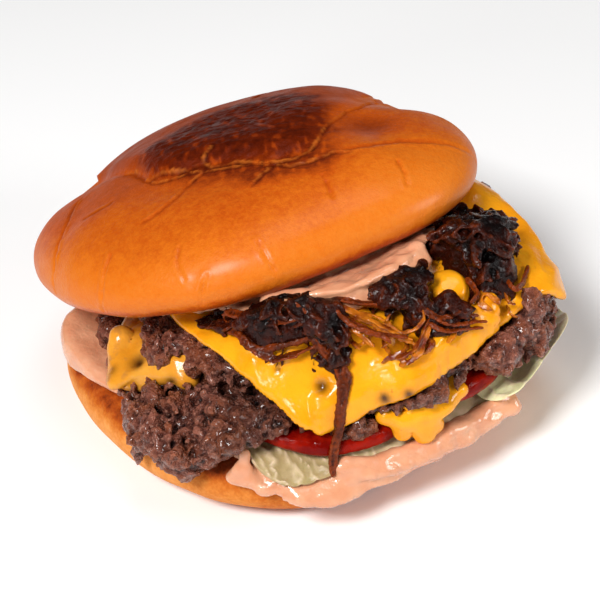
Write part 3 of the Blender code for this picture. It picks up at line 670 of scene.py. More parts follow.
grain(tree, shader, [(0.5, 0.6), (1.8, 0.5)], 0.3)
dress(heel, "bun_bottom", pale_crust)

# %% [markdown]
# ## Patties
# A smashed patty tears at its edge into lumps of mince. A texture can't make such an edge, because
# the lumps overhang. Instead each solid is first split by clefts, a little less than a centimetre
# apart. Many small stretched crumbs and some large ones are scattered over its open side, and one new
# skin is wrapped over crumbs and solid together, so the crumbs grow out of the meat.

# %% What lies near a surface
names = sorted(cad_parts)
NEIGHBOURS = {}
for name in names:
    verts, faces = [], []
    for other in names:
        if other != name:
            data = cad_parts[other].data
            first = len(verts)
            verts += [v.co / MM for v in data.vertices]
            faces += [[first + k for k in f.vertices] for f in data.polygons]
    NEIGHBOURS[name] = BVHTree.FromPolygons(verts, faces)
print("neighbours of", len(NEIGHBOURS), "solids")


def spots_on(node_name, count, dice):
    """Random places on a solid's side that no other solid covers, with their normals."""
    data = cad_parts[node_name].data
    weights = [f.area for f in data.polygons]
    spots = []
    for face in dice.choices(list(data.polygons), weights, k=count):
        a, b, c = (data.vertices[k].co / MM for k in face.vertices)
        u, v = sorted((dice.random(), dice.random()))
        at = a * u + b * (v - u) + c * (1 - v)
        if NEIGHBOURS[node_name].ray_cast(at + face.normal * 0.1, face.normal, 2.4)[0] is None:
            spots.append((at, face.normal.copy()))
    return spots


# %% Crumbs and lumps
bpy.ops.mesh.primitive_ico_sphere_add(subdivisions=2, radius=1)
crumb = bpy.context.object
CRUMB_POINTS = [v.co.copy() for v in crumb.data.vertices]
CRUMB_FACES = [tuple(f.vertices) for f in crumb.data.polygons]
bpy.data.objects.remove(crumb)
print("a crumb has", len(CRUMB_FACES), "faces")


def lumps(name, spots, dice, dents=0.35):
    """One mesh of dented lumps. Each spot is a place, its three reaches and how it is turned."""
    points, faces = [], []
    for place, reaches, spin in spots:
        seed = Vector((dice.random(), dice.random(), dice.random())) * 50
        first = len(points)
        for p in CRUMB_POINTS:
            dent = 1 + dents * noise.noise(p * 1.3 + seed)
            points.append((Vector(place) + spin @ (p * Vector(reaches) * dent)) * MM)
        faces += [[first + k for k in f] for f in CRUMB_FACES]
    mesh = bpy.data.meshes.new(name)
    mesh.from_pydata(points, [], faces)
    made = bpy.data.objects.new(name, mesh)
    bpy.context.scene.collection.objects.link(made)
    return made


UPRIGHT = Matrix.Identity(3)


def rounded(spots):
    """Soft lumps for lumps(), from places with one reach or three."""
    reaches = [reach if isinstance(reach, tuple) else (reach, reach, reach) for _, reach in spots]
    return [(place, reach, UPRIGHT) for (place, _), reach in zip(spots, reaches)]


def crumbs(spots, sizes, sink, dice, stretch=1.9):
    """Stretched crumbs for lumps(), half sunk at places on a surface."""
    made = []
    for at, normal in spots:
        size = dice.uniform(*sizes)
        spin = Matrix.Rotation(dice.uniform(0, 6.28), 3, "X")
        spin = spin @ Matrix.Rotation(dice.uniform(0, 6.28), 3, "Z")
        reaches = (size, size * dice.uniform(0.8, 1.1), size * dice.uniform(1, stretch))
        made.append((at - normal * size * sink, reaches, spin))
    return made


def join(piece, others):
    bpy.ops.object.select_all(action="DESELECT")
    for other in others:
        other.select_set(True)
    piece.select_set(True)
    bpy.context.view_layer.objects.active = piece
    bpy.ops.object.join()


# %% Torn meat
def cleft(places, size, seed):
    """How near each place is to the border of its lump of meat, from 0 to 1."""
    shift = Vector((seed, 3 * seed, 5 * seed))
    found = []
    for p in places:
        bent = Vector(p) / size + 0.35 * noise.noise_vector(Vector(p) / 3) + shift
        near = noise.voronoi(bent)[0]
        found.append(near[1] - near[0])
    return 1 - smoothstep(0.02, 0.24, found)


LUMP_SIZE = 8


def mince(node_name, name, count, seed, extra):
    """A torn patty: its solid, sunk a little and split, under a scatter of crumbs, with one skin."""
    dice = random.Random(seed)
    patty = copy_of(node_name, name, 0)
    finish_with(patty, "REMESH", mode="VOXEL", voxel_size=0.8 * MM)
    skin = points_of(patty)
    move_points(patty, skin - normals_of(patty) * (0.9 + 2.8 * cleft(skin, LUMP_SIZE, seed))[:, None])
    spots = spots_on(node_name, count, dice)
    split = cleft([at for at, _ in spots], LUMP_SIZE, seed)
    spots = [spot for spot, near in zip(spots, split) if near < 0.5 * dice.random() + 0.2]
    near = NEIGHBOURS[node_name]
    free = [spot for spot in spots[::8] if near.find_nearest(spot[0] + 1.5 * spot[1], 2.8)[0] is None]
    big = lumps("big", rounded(extra) + crumbs(free, (2.0, 3.8), 0.62, dice, 1.5), dice, 0.8)
    rest = [spot for k, spot in enumerate(spots) if k % 9 > 3]
    small = lumps("small", crumbs(rest, (0.4, 1.1), 0.25, dice, 2.4), dice, 0.7)
    join(patty, [big, small])
    finish_with(patty, "REMESH", mode="VOXEL", voxel_size=0.5 * MM)
    skin = points_of(patty)
    ragged = np.array([noise.noise_vector(Vector(p) / 1.5) for p in skin])
    move_points(patty, skin + 0.45 * ragged)
    roughen(patty, 0.7, 0.7)
    above = 0.6 * relief(patty, 14) + 0.4 * relief(patty, 70)
    paint(patty, "raised", np.clip(0.5 + above / 1.7, 0, 1))
    skin = points_of(patty)
    charred = np.exp(-((np.linalg.norm(skin - nearest_on(CHARRED, skin), axis=1) / 3) ** 2))
    seared = smoothstep(-25, -13, skin[:, 0] + 4 * swell(skin, 6, 5))
    seared *= 0.5 * (1 - smoothstep(4, 14, skin[:, 0]))
    paint(patty, "char", np.maximum(charred, seared))
    print(name, "has small crumbs at", len(rest), "places and large ones at", len(free))
    return patty


CHARRED = [(7.5, -54, 24), (13.4, -53, 29.2), (19.2, -52, 29), (25.5, -53, 31.5), (28.1, -51.1, 32.6),
           (33, -48, 33)]
SCRAPS = [((7.5, -54.6, 24.3), (2.6, 1.6, 2)), ((10.6, -55.4, 24.6), (2.6, 1.6, 1.8)),
          ((13.3, -54.2, 25), (2.2, 1.6, 1.8))]
CRISP = [((14, -53.4, 29.2), 1.4), ((16.6, -53.4, 29.6), 1.5), ((19.6, -53.6, 29.2), 1.5),
         ((22.4, -54, 30.4), 1.5), ((25.5, -53.4, 31.4), 1.7), ((28.1, -51.6, 32.2), 1.6)]
lower_patty = mince("patty_bottom", "lower_patty", 8000, 3, SCRAPS)
upper_patty = mince("patty_top", "upper_patty", 8000, 4, CRISP)

# %% [markdown]
# Cooked mince isn't one brown. The lumps are grey purple inside and rusty where they browned. The
# colour also follows how far each point stands out: the clefts are painted nearly black and the
# raised lumps lighter, which is painted shade in the clefts. Melted fat lies in small wet spots.
# They are a clear coat in patches, which gives bright specks and no overall shine.


# %% Meat material
def meat_finish(name, tint):
    """The finish of one patty. tint is its colour where it browned."""
    meat, tree, shader = new_material(name)
    rust = use(tree, patches, {"Size": 6, "Low": 0.4, "High": 0.65}).outputs["Mask"]
    fat = use(tree, patches, {"Size": 0.8, "Low": 0.55, "High": 0.68}).outputs["Mask"]
    # Both ramps go nearly black where a point lies low: painted shade in the clefts.
    inner = [(0.25, (0.012, 0.002, 0.002)), (0.48, (0.13, 0.037, 0.024)), (0.85, (0.36, 0.125, 0.080))]
    outer = [(0.25, (0.012, 0.002, 0.001)), (0.48, tint), (0.85, (0.36, 0.105, 0.045))]
    purple_and_cleft_shade = ramp(tree, painted(tree, "raised"), inner)
    rusty_and_cleft_shade = ramp(tree, painted(tree, "raised"), outer)
    colour = blend(tree, rust, purple_and_cleft_shade, rusty_and_cleft_shade)
    colour = blend(tree, maths(tree, "MULTIPLY", fat, 0.4), colour, (0.62, 0.30, 0.21))
    burnt = maths(tree, "MULTIPLY", painted(tree, "char"), 0.85)
    colour = blend(tree, burnt, colour, (0.014, 0.005, 0.004))
    tree.links.new(colour, shader.inputs["Base Color"])
    juice = use(tree, film, {"Size": 2.2, "Wet": 0.10, "Dry": 0.5})
    tree.links.new(juice.outputs["Roughness"], shader.inputs["Roughness"])
    shader.inputs["Specular IOR Level"].default_value = 0.2
    wet = use(tree, patches, {"Size": 1.5, "Low": 0.45, "High": 0.55}).outputs["Mask"]
    tree.links.new(maths(tree, "MULTIPLY", wet, 0.9), shader.inputs["Coat Weight"])
    shader.inputs["Coat Roughness"].default_value = 0.1
    shader.inputs["Coat IOR"].default_value = 1.35
    grain(tree, shader, [(0.5, 1.0), (1.1, 1.1), (juice.outputs["Height"], 0.4)], 1.2)
    return meat


dress(lower_patty, "patty_bottom", meat_finish("browned_mince", (0.15, 0.038, 0.018)))
dress(upper_patty, "patty_top", meat_finish("seared_mince", (0.17, 0.042, 0.018)))

# %% [markdown]
# ## Cheese
# Each slice melted over its patty. Melted cheese has no sharp edge: it rounds, thickens at its rim,
# sags over what is under it and scorches in a few spots. What ran out of a slice, such as its drips,
# its hanging edge and the flap at the left, is a row of soft lumps along a route. Slice and lumps get
# one even skin, which is smoothed to round the rim, swollen unevenly, and sunk at a few spots. These
# spots are painted nearly black, partly as scorch and partly as painted shade in holes and gaps.


# %% Cheese form
def melt(node_name, name, runs, dents, smoothing):
    """A melted slice. runs are lumps that ran out of it, and dents are (place, reach, depth) of
    sunk spots, painted dark partly as scorch and partly as painted shade in holes and gaps.
    """
    slice_ = copy_of(node_name, name, 2)
    join(slice_, [lumps("runs", rounded(runs), random.Random(6), 0.2)])
    even_skin(slice_, 0.5, smoothing)
    skin = points_of(slice_)
    normals = normals_of(slice_)
    folds = 1 - 2 * np.abs(swell(skin * (1, 0.6, 0.6), 7, 12))
    push = 0.4 + 0.6 * swell(skin, 8, 2) + 0.12 * swell(skin, 3, 6) + 0.45 * folds
    scorch_and_shade = np.zeros(len(skin))
    for place, reach, depth in dents:
        near = np.exp(-((np.linalg.norm(skin - place, axis=1) / reach) ** 2))
        near *= smoothstep(0, 0.3, normals @ np.array((0, -0.6, 0.8)))
        push -= depth * near
        scorch_and_shade = np.maximum(scorch_and_shade, near)
    move_points(slice_, skin + normals * push[:, None])
    finish_with(slice_, "SMOOTH", factor=0.5, iterations=2)
    paint(slice_, "scorch_and_shade", scorch_and_shade)
    flap = smoothstep(-5, -22, skin[:, 0]) * (node_name == "cheese_bottom")
    paint(slice_, "stain", 0.12 + 0.88 * flap)
    return slice_


print("the plain upper slice has", triangles(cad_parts["cheese_top"]), "triangles")

# %% Cheese that ran
DRAPE = [(3, -56.4, 27.5), (6.3, -55.6, 28), (11, -54.4, 30), (14.4, -53.6, 31.6), (18.3, -53.6, 33),
         (22.6, -53.6, 34.6), (27.2, -51.4, 35), (30.8, -48.4, 35.6), (34.6, -45.9, 36.5),
         (38.1, -43.6, 37.6), (41.5, -41.2, 38.6)]
FLAP = [(-41.4, -22, 27.6), (-41.6, -26, 25), (-39.6, -29.4, 23.6), (-36.4, -31.6, 24.4),
        (-33.2, -33, 26.4), (-30.4, -34.4, 28), (-27.4, -35.8, 28.8), (-25.6, -36.8, 28)]
upper_runs = [((33, -35.6, 45), (4.9, 4.4, 4.2))]
for x, y, z in smooth_route(DRAPE, 1.6):
    for row in range(4):
        upper_runs.append(((x, y + (0.2, 0.7, 1.5, 2.6)[row], z + 1.9 * row), (1.9, 0.9, 1.6)))
DRIPS = [[(17, -53, 26.4), (21, -53.4, 25.4), (25, -52.8, 25), (29, -51, 25.8), (33.4, -47.6, 27.6)],
         [(20, -53, 24.4), (20.6, -52.8, 21.2)], [(24, -53, 24), (25.4, -52.4, 19.6)],
         [(26.4, -52.2, 24.4), (27.6, -51.2, 21.4)]]
lower_runs = [((17, -53, 26), (1.6, 1.2, 1.4))]
for route in DRIPS:
    lower_runs += [((x, y, z), (1.9, 1.3, 1.8)) for x, y, z in smooth_route(route, 1.2)]
for x, y, z in smooth_route(FLAP, 1.2):
    lower_runs.append(((x, y, z), (2.4, 1.7, 2.1)))
    lower_runs.append(((x + 0.6, y + 1.6, z + 1.8), (2.4, 1.6, 2.1)))
LOWER_DENTS = [((-36.6, -29.8, 28.6), 1.9, 1.3), ((-37.4, -30.6, 26.6), 1.3, 0.8),
               ((-41.5, -29, 25), 1.3, 0.2), ((-29, -37, 28), 1.2, 0.2)]
UPPER_DENTS = [((4, -52.8, 36), 1.6, 0.8), ((-5.2, -49.8, 39.3), 0.8, 0.6),
               ((32.2, -39.4, 47.6), 0.7, 0.3), ((17, -54, 33), 1.3, 0.1), ((22, -54, 34), 1.1, 0.1)]
lower_cheese = melt("cheese_bottom", "lower_cheese", lower_runs, LOWER_DENTS, 22)
upper_cheese = melt("cheese_top", "upper_cheese", upper_runs, UPPER_DENTS, 10)
print("cheese lumps:", len(lower_runs), "below and", len(upper_runs), "above")

# %% [markdown]
# Fresh from the griddle the cheese is a strong yellow with an oily shine. The flap at the left took up
# juice from the meat, so it is duller and smudged. One finish serves both slices, and each point says
# how stained it is.

# %% Cheese material
melted, tree, shader = new_material("melted_cheese")
mottle = use(tree, patches, {"Size": 8, "Low": 0.3, "High": 0.7}).outputs["Mask"]
specks = use(tree, patches, {"Size": 1.6, "Low": 0.70, "High": 0.74}).outputs["Mask"]
smudge = use(tree, patches, {"Size": 3, "Low": 0.52, "High": 0.68}).outputs["Mask"]
fresh = blend(tree, mottle, (0.82, 0.285, 0.002), (0.88, 0.36, 0.005))
stained = blend(tree, mottle, (0.68, 0.26, 0.015), (0.76, 0.34, 0.04))
stained = blend(tree, maths(tree, "MULTIPLY", smudge, 0.6), stained, (0.42, 0.17, 0.04))
colour = blend(tree, painted(tree, "stain"), fresh, stained)
colour = blend(tree, maths(tree, "MULTIPLY", specks, 0.5), colour, (0.45, 0.13, 0.01))
# The dents are painted nearly black: partly scorch, partly painted shade in holes and gaps.
colour = blend(tree, painted(tree, "scorch_and_shade"), colour, (0.04, 0.010, 0.002))
tree.links.new(colour, shader.inputs["Base Color"])
oil = use(tree, film, {"Size": 5, "Wet": 0.08, "Dry": 0.3})
tree.links.new(oil.outputs["Roughness"], shader.inputs["Roughness"])
shader.inputs["Subsurface Weight"].default_value = 0.12
shader.inputs["Subsurface Radius"].default_value = (0.004, 0.002, 0.0005)
shader.inputs["Specular IOR Level"].default_value = 0.18
shader.inputs["Coat Weight"].default_value = 0.25
shader.inputs["Coat Roughness"].default_value = 0.06
grain(tree, shader, [(1.6, 0.12), (5, 0.8)], 0.6)
dress(lower_cheese, "cheese_bottom", melted)
dress(upper_cheese, "cheese_top", melted)

# %% [markdown]
# ## Sauce
# Burger sauce is a thick pink mayonnaise. It keeps the folds that the knife and the weight of the
# crown left in it, and it is smooth, glossy and slightly see-through, with fine specks. Where it was
# squeezed out, over the leaf and under the crown, rows of soft lumps join it before it is smoothed.


# %% Sauce form
def spread(node_name, name, seed, runs):
    """A layer of sauce with soft folds. runs are the lumps that were squeezed out of it."""
    layer = copy_of(node_name, name, 2)
    join(layer, [lumps("runs", rounded(runs), random.Random(seed), 0.15)])
    even_skin(layer, 0.62, 7)
    skin = points_of(layer)
    folds = swell(skin * (0.6, 1, 1.6), 4.5, seed) + 0.5 * swell(skin, 2.4, seed + 3)
    folds *= 0.35 + 0.65 * smoothstep(-47, -36, skin[:, 0])
    skin = skin + normals_of(layer) * (0.25 + 0.9 * folds)[:, None]
    if node_name == "sauce_top":
        skin[:, 1] += 3 * smoothstep(-6, -16, skin[:, 0]) * smoothstep(-26, -33, skin[:, 1])
    move_points(layer, skin)
    finish_with(layer, "SMOOTH", factor=0.5, iterations=3)
    return layer


OVER_LEAF = [(7.6, -57.6, 17), (11, -57.4, 17), (14.6, -56.4, 16.6), (18, -54.8, 16),
             (22, -53.2, 15.8), (26, -51.6, 15.8), (30, -49.8, 16), (34, -47, 16), (37, -44.4, 15.8),
             (41, -42, 16.4), (45, -40, 16.6)]
front_runs = [((-14, -56.6, 21.6), (1.6, 1, 2.4)), ((-14.6, -56.6, 18.4), (2.4, 1.3, 2.4)),
              ((-15.6, -56, 15.6), (3, 1.6, 1.8)), ((-13, -57.6, 15), (2.6, 1.6, 2)),
              ((-10.4, -59.2, 13.8), (2.6, 1.6, 1.8))]
for x, y, z in smooth_route(OVER_LEAF, 2):
    front_runs.append(((x, y, z + 0.6), (2.6, 1.9, 1.7)))
    front_runs.append(((x + 0.3, y - 0.9, z - 1.8), (2.6, 1.9, 1.9)))
lower_sauce = spread("sauce_bottom", "lower_sauce", 2, front_runs)
LIP_SAUCE = [(-4, -40.5, 48.4), (2, -41.6, 49.2), (8, -42, 49.6), (13, -40.8, 49.6), (18, -38.4, 50),
             (23, -35.4, 50.6), (27, -32, 51.2)]
under_crown = []
for x, y, z in smooth_route(LIP_SAUCE, 2.2):
    under_crown.append(((x, y, z), (3, 2.4, 2)))
    under_crown.append(((x - 0.6, y + 2.4, z + 1), (3, 2.4, 2)))
upper_sauce = spread("sauce_top", "upper_sauce", 7, under_crown)
print("sauce lumps:", len(front_runs), "below and", len(under_crown), "above")

# %% Sauce material
pink, tree, shader = new_material("pink_sauce")
mottle = use(tree, patches, {"Size": 5, "Low": 0.3, "High": 0.7}).outputs["Mask"]
specks = use(tree, patches, {"Size": 0.9, "Low": 0.72, "High": 0.76}).outputs["Mask"]
colour = blend(tree, mottle, (0.64, 0.275, 0.145), (0.70, 0.345, 0.195))
colour = blend(tree, maths(tree, "MULTIPLY", specks, 0.6), colour, (0.45, 0.12, 0.05))
tree.links.new(colour, shader.inputs["Base Color"])
gloss = use(tree, film, {"Size": 6, "Wet": 0.18, "Dry": 0.32})
tree.links.new(gloss.outputs["Roughness"], shader.inputs["Roughness"])
shader.inputs["Subsurface Weight"].default_value = 0.15
shader.inputs["Subsurface Radius"].default_value = (0.003, 0.0015, 0.001)
shader.inputs["Specular IOR Level"].default_value = 0.35
shader.inputs["Coat Weight"].default_value = 0.4
grain(tree, shader, [(3.5, 1.0), (0.6, 0.12)], 0.5)
dress(lower_sauce, "sauce_bottom", pink)
dress(upper_sauce, "sauce_top", pink)

# %% [markdown]
# ## Leaves and tomato
# The lettuce shows its pale inner ribs at the front and a curled outer edge at the right. Ribs run
# out from the leaf's heart, so they are waves across the angle, in the shape and in the colour. The
# leaf at the right is greener than the heart, and its finish is a much lighter copy, which is painted
# light on a leaf that lies in the shadow of the cheese and the patty. The tomato slices are rounds
# with a tight red skin at the rim and wet flesh, with a slight unevenness where the knife went through.


# %% Leaf form
def leaf(node_name, name, heart, ribs, light):
    """A ribbed leaf. heart is the place in the plane from which its ribs run out, and light lowers
    the share of rim colour, which paints the leaf lighter, as painted light.
    """
    blade = copy_of(node_name, name, 3)
    skin = points_of(blade)
    east, north = skin[:, 0] - heart[0], skin[:, 1] - heart[1]
    angle = np.arctan2(north, east) + 0.10 * swell(skin, 7, 3) + 0.03 * swell(skin, 2, 4)
    out = np.hypot(east, north)
    rib = np.abs(np.sin(ribs * angle)) ** 0.5 * (0.6 + 0.8 * (0.5 + 0.5 * np.sin(5.3 * angle)))
    lift = 0.55 * (0.6 - rib) * smoothstep(8, 20, out) + 0.4 * swell(skin * (1, 1, 0), 6, 5)
    skin[:, 2] += lift
    move_points(blade, skin)
    paint(blade, "rib", np.clip(1.1 - rib, 0, 1))
    # light lowers the rim colour's share, which makes the leaf lighter: painted light.
    paint(blade, "outer", np.clip(0.1 + smoothstep(6, 26, skin[:, 0]) - light, 0, 1))
    return blade


front_leaf = leaf("lettuce_front", "front_leaf", (-22, -34), 44, 0)
right_leaf = leaf("lettuce_right", "right_leaf", (24, -14), 20, 0.5)
print("leaves:", triangles(front_leaf), "and", triangles(right_leaf), "triangles")


# %% Leaf material
def leaf_finish(name, flesh, rim):
    """The finish of one leaf, from the colours of its flesh and of its rim."""
    green, tree, shader = new_material(name)
    patch = use(tree, patches, {"Size": 9, "Low": 0.45, "High": 0.7}).outputs["Mask"]
    fine = use(tree, patches, {"Size": 1.5, "Low": 0.35, "High": 0.65}).outputs["Mask"]
    edge = maths(tree, "MULTIPLY", patch, painted(tree, "outer"))
    colour = blend(tree, edge, flesh, rim)
    colour = blend(tree, maths(tree, "MULTIPLY", painted(tree, "rib"), 0.85), colour, (0.84, 0.66, 0.46))
    colour = blend(tree, maths(tree, "MULTIPLY", fine, 0.25), colour, (0.50, 0.36, 0.17))
    tree.links.new(colour, shader.inputs["Base Color"])
    shader.inputs["Roughness"].default_value = 0.34
    shader.inputs["Specular IOR Level"].default_value = 0.3
    shader.inputs["Subsurface Weight"].default_value = 0.2
    shader.inputs["Subsurface Radius"].default_value = (0.001, 0.0015, 0.0005)
    grain(tree, shader, [(0.8, 0.4), (2, 0.5)], 0.25)
    return green


heart_finish = leaf_finish("lettuce_heart", (0.36, 0.26, 0.12), (0.22, 0.30, 0.05))
# The right leaf's finish is a much lighter copy: painted light on a leaf that lies in shade.
lit_leaf_finish = leaf_finish("lettuce_edge_lit", (0.88, 0.84, 0.50), (0.68, 0.74, 0.32))
dress(front_leaf, "lettuce_front", heart_finish)
dress(right_leaf, "lettuce_right", lit_leaf_finish)

# %% Tomato
red, tree, shader = new_material("tomato")
mottle = use(tree, patches, {"Size": 4, "Low": 0.35, "High": 0.65}).outputs["Mask"]
colour = blend(tree, mottle, (0.16, 0.002, 0.0008), (0.30, 0.008, 0.002))
tree.links.new(colour, shader.inputs["Base Color"])
wet = use(tree, film, {"Size": 3, "Wet": 0.08, "Dry": 0.25})
tree.links.new(wet.outputs["Roughness"], shader.inputs["Roughness"])
shader.inputs["Subsurface Weight"].default_value = 0.15
shader.inputs["Subsurface Radius"].default_value = (0.004, 0.0008, 0.0005)
shader.inputs["Specular IOR Level"].default_value = 0.08
grain(tree, shader, [(2, 0.7), (0.7, 0.3)], 0.35)
for node_name, name in (("tomato_left", "left_tomato"), ("tomato_right", "right_tomato")):
    slice_ = copy_of(node_name, name, 3)
    roughen(slice_, 3, 0.5)
    dress(slice_, node_name, red)

# %% [markdown]
# ## Onions
# The onions are one heap of strips that cooked down until they were nearly black on top and amber
# where they are thin. The core is the plain solid, drawn in to five clumps and sunk into the cheese
# between them, with a crumpled skin. Dozens of flat ribbons wander in each clump and are fused with
# the core, because burnt onions stick together. Other strips follow named routes, such as the strand
# that hangs over the cheese. Every ribbon drops onto what is under it, like a real one.

# %% Clump outlines
CLUMPS = {  # outline from above, height of the pile, number of ribbons
    "left": ([(-24.5, -31.5), (-21, -36.5), (-16, -41), (-11, -46.3), (-4.5, -50), (2, -50.6), (6, -49.5),
              (9.8, -48.2), (10.5, -44), (8, -36), (-10, -32)], 2.4, 110),
    "tail": ([(0, -48.5), (3.4, -51), (6.5, -52.6), (9.4, -53), (11.2, -51), (11, -47), (8, -43),
              (0, -43)], 1.5, 60),
    "middle": ([(14.5, -41.5), (17, -45), (22, -46), (26.5, -46), (29, -42.5), (30, -38), (29, -32),
                (18, -32)], 2.2, 70),
    "low": ([(22.5, -44.5), (25, -47.8), (29, -48.8), (34, -47.2), (38, -45), (38, -42.6), (33, -41),
             (28, -41.5)], 2.0, 66),
    "right": ([(29.5, -29), (33, -31), (36, -33), (37.5, -38), (40, -39), (44, -37.6), (48, -34),
               (50, -28), (51, -20), (50, -8), (30, -8)], 3.2, 150),
}
print(sum(count for *_, count in CLUMPS.values()), "ribbons for", len(CLUMPS), "clumps")


BARE = 16


def tree_of(pieces):
    """All the faces of some pieces, ready for rays, in millimetres."""
    verts, faces = [], []
    for piece in pieces:
        first = len(verts)
        verts += [v.co / MM for v in piece.data.vertices]
        faces += [[first + k for k in f.vertices] for f in piece.data.polygons]
    return BVHTree.FromPolygons(verts, faces)


def over(ground, x, y):
    """The height of what is under a place, from above, or a low one if nothing is there."""
    hit = ground.ray_cast(Vector((x, y, 90)), Vector((0, 0, -1)))[0]
    return hit.z if hit else BARE


# %% Onion core
CORE_SINK = 2.4
core = copy_of("onions", "onion_core", 1)
even_skin(core, 0.5, 4)
skin = points_of(core)
held = np.max([depth_in(outline, skin) for outline, *_ in CLUMPS.values()], axis=0)
held += 1.2 * swell(skin, 4, 9)
share = smoothstep(-0.8, 1.4, held)
flat = skin * (1, 1, 0)
rims = [[(x, y, 0) for x, y in outline + outline[:1]] for outline, *_ in CLUMPS.values()]
feet = np.array([nearest_on(rim, flat) for rim in rims])
foot = feet[np.argmin(np.linalg.norm(feet - flat, axis=2), axis=0), np.arange(len(skin))]
skin[:, :2] += (smoothstep(0.6, -1, held) * (foot - flat).T).T[:, :2]
layers = tree_of([upper_cheese, upper_patty])
bed = np.array([over(layers, x, y) for x, y, _ in skin]) - CORE_SINK
bed = np.where(bed < 20, skin[:, 2] - 1, bed)
skin[:, 2] = np.where(skin[:, 2] > bed, bed + share * (skin[:, 2] - bed), bed - 1)
move_points(core, skin)
ridges = 1 - 2 * np.abs(swell(skin, 3.4, 3)) + 0.5 * (1 - 2 * np.abs(swell(skin, 1.5, 8)))
move_points(core, skin + normals_of(core) * (0.9 * ridges - 1.2)[:, None] * share[:, None])
print("core sunk between", len(CLUMPS), "clumps at", int((share < 0.5).sum()), "points")


# %% Ribbons
RIBBON_SIDES = 8


def ribbon(path, wide, thick, dice, points, faces):
    """Adds a flat strip along a path, which twists and crinkles as it goes."""
    sides = RIBBON_SIDES
    tilt = dice.uniform(-0.8, 0.8)
    first = len(points)
    for k, at in enumerate(path):
        ahead = (path[min(k + 1, len(path) - 1)] - path[max(k - 1, 0)]).normalized()
        across = ahead.cross(Vector((0, 0, 1)))
        across = across.normalized() if across.length > 0.05 else Vector((1, 0, 0))
        upward = across.cross(ahead).normalized()
        tilt += dice.uniform(-0.5, 0.5)
        end = min(k, len(path) - 1 - k) / (len(path) - 1)
        taper = min(1, 0.45 + 4 * end) * dice.uniform(0.75, 1.25)
        at = at + across * dice.uniform(-0.25, 0.25) * wide
        for turn in range(sides):
            angle = 2 * math.pi * turn / sides
            flat = across * math.cos(angle) * wide * taper
            fold = upward * (math.sin(angle) * thick + 0.35 * wide * math.cos(angle) ** 2 * taper)
            points.append(at + Matrix.Rotation(tilt, 3, ahead) @ (flat + fold))
    last = len(points) - sides
    for k in range(len(path) - 1):
        for turn in range(sides):
            a, b = first + k * sides + turn, first + k * sides + (turn + 1) % sides
            faces.append((a, b, b + sides, a + sides))
    faces.append(tuple(range(first + sides - 1, first - 1, -1)))
    faces.append(tuple(range(last, last + sides)))


print("ribbons have", RIBBON_SIDES, "sides")

# %% What ribbons lie on
ground = tree_of([core, upper_cheese, upper_patty, lower_cheese, front_leaf, heel, lower_sauce])
roof = tree_of([crown])
print("ribbons can lie down to", round(over(ground, 8, -53), 1), "mm at the front")


def lie(x, y, lift):
    """The height of a ribbon over what is under it and under the crown."""
    z = over(ground, x, y) + lift
    above = roof.ray_cast(Vector((x, y, 10)), Vector((0, 0, 1)))[0]
    return min(z, above.z - 2.2) if above else z


def eased(heights, drop):
    """Heights that never differ by more than a drop from one place to the next."""
    for _ in range(2):
        for k in range(1, len(heights)):
            heights[k] = max(heights[k], heights[k - 1] - drop)
        heights = heights[::-1]
    return heights


def settled(places, lift, slack, drop=0.4):
    """A path over places, dropped onto what is there and pulled a little tight."""
    heights = [lie(x, y, lift) for x, y in places]
    for _ in range(slack):
        for k in range(1, len(heights) - 1):
            heights[k] = max(heights[k], (heights[k - 1] + heights[k + 1]) / 2)
    return [Vector((x, y, z)) for (x, y), z in zip(places, eased(heights, drop))]


def mesh_of(name, points, faces):
    mesh = bpy.data.meshes.new(name)
    mesh.from_pydata([p * MM for p in points], [], faces)
    made = bpy.data.objects.new(name, mesh)
    bpy.context.scene.collection.objects.link(made)
    finish_with(made, "SUBSURF", levels=1, render_levels=1)
    return made


# %% Routes of strands and threads
HANGING = [(-1, -44), (2.5, -48), (7.2, -50.6), (8.8, -53), (7.6, -55.8), (6, -57.6), (5.2, -58.6),
           (5, -59.4)]
STRANDS = [
    ([(-17, -35.5), (-10.6, -45.5), (-4.5, -49.3), (1.6, -50), (5, -48.5)], 1.5),
    ([(-16, -37), (-9.1, -45), (-2.4, -48), (4, -46)], 1.5),
    ([(8, -45), (10.9, -49.4), (16.1, -51.5), (19.7, -50.9), (22.8, -51.1), (22.3, -49)], 0.9),
    ([(6, -46), (9, -48), (12.5, -49.7), (17.1, -52.4), (18.8, -53.5)], 0.9),
    ([(24, -42), (26.8, -44.6), (30.1, -46.9), (35, -44.5), (38.7, -43.6)], 1.4),
    ([(25, -43), (27, -46), (31, -48.5), (36, -46), (40, -44.5)], 1.2),
    ([(8, -43.5), (10.7, -43.7), (13.7, -44.2), (18.2, -43.4), (21.8, -43), (24.4, -40.6)], 1.2),
    ([(37, -36), (38.6, -38.5), (39.2, -40.5), (37, -42.5)], 1.1),
    ([(45.7, -34.5), (46.5, -37.5), (48, -36), (49.3, -32.7), (51.5, -26)], 1.1),
]
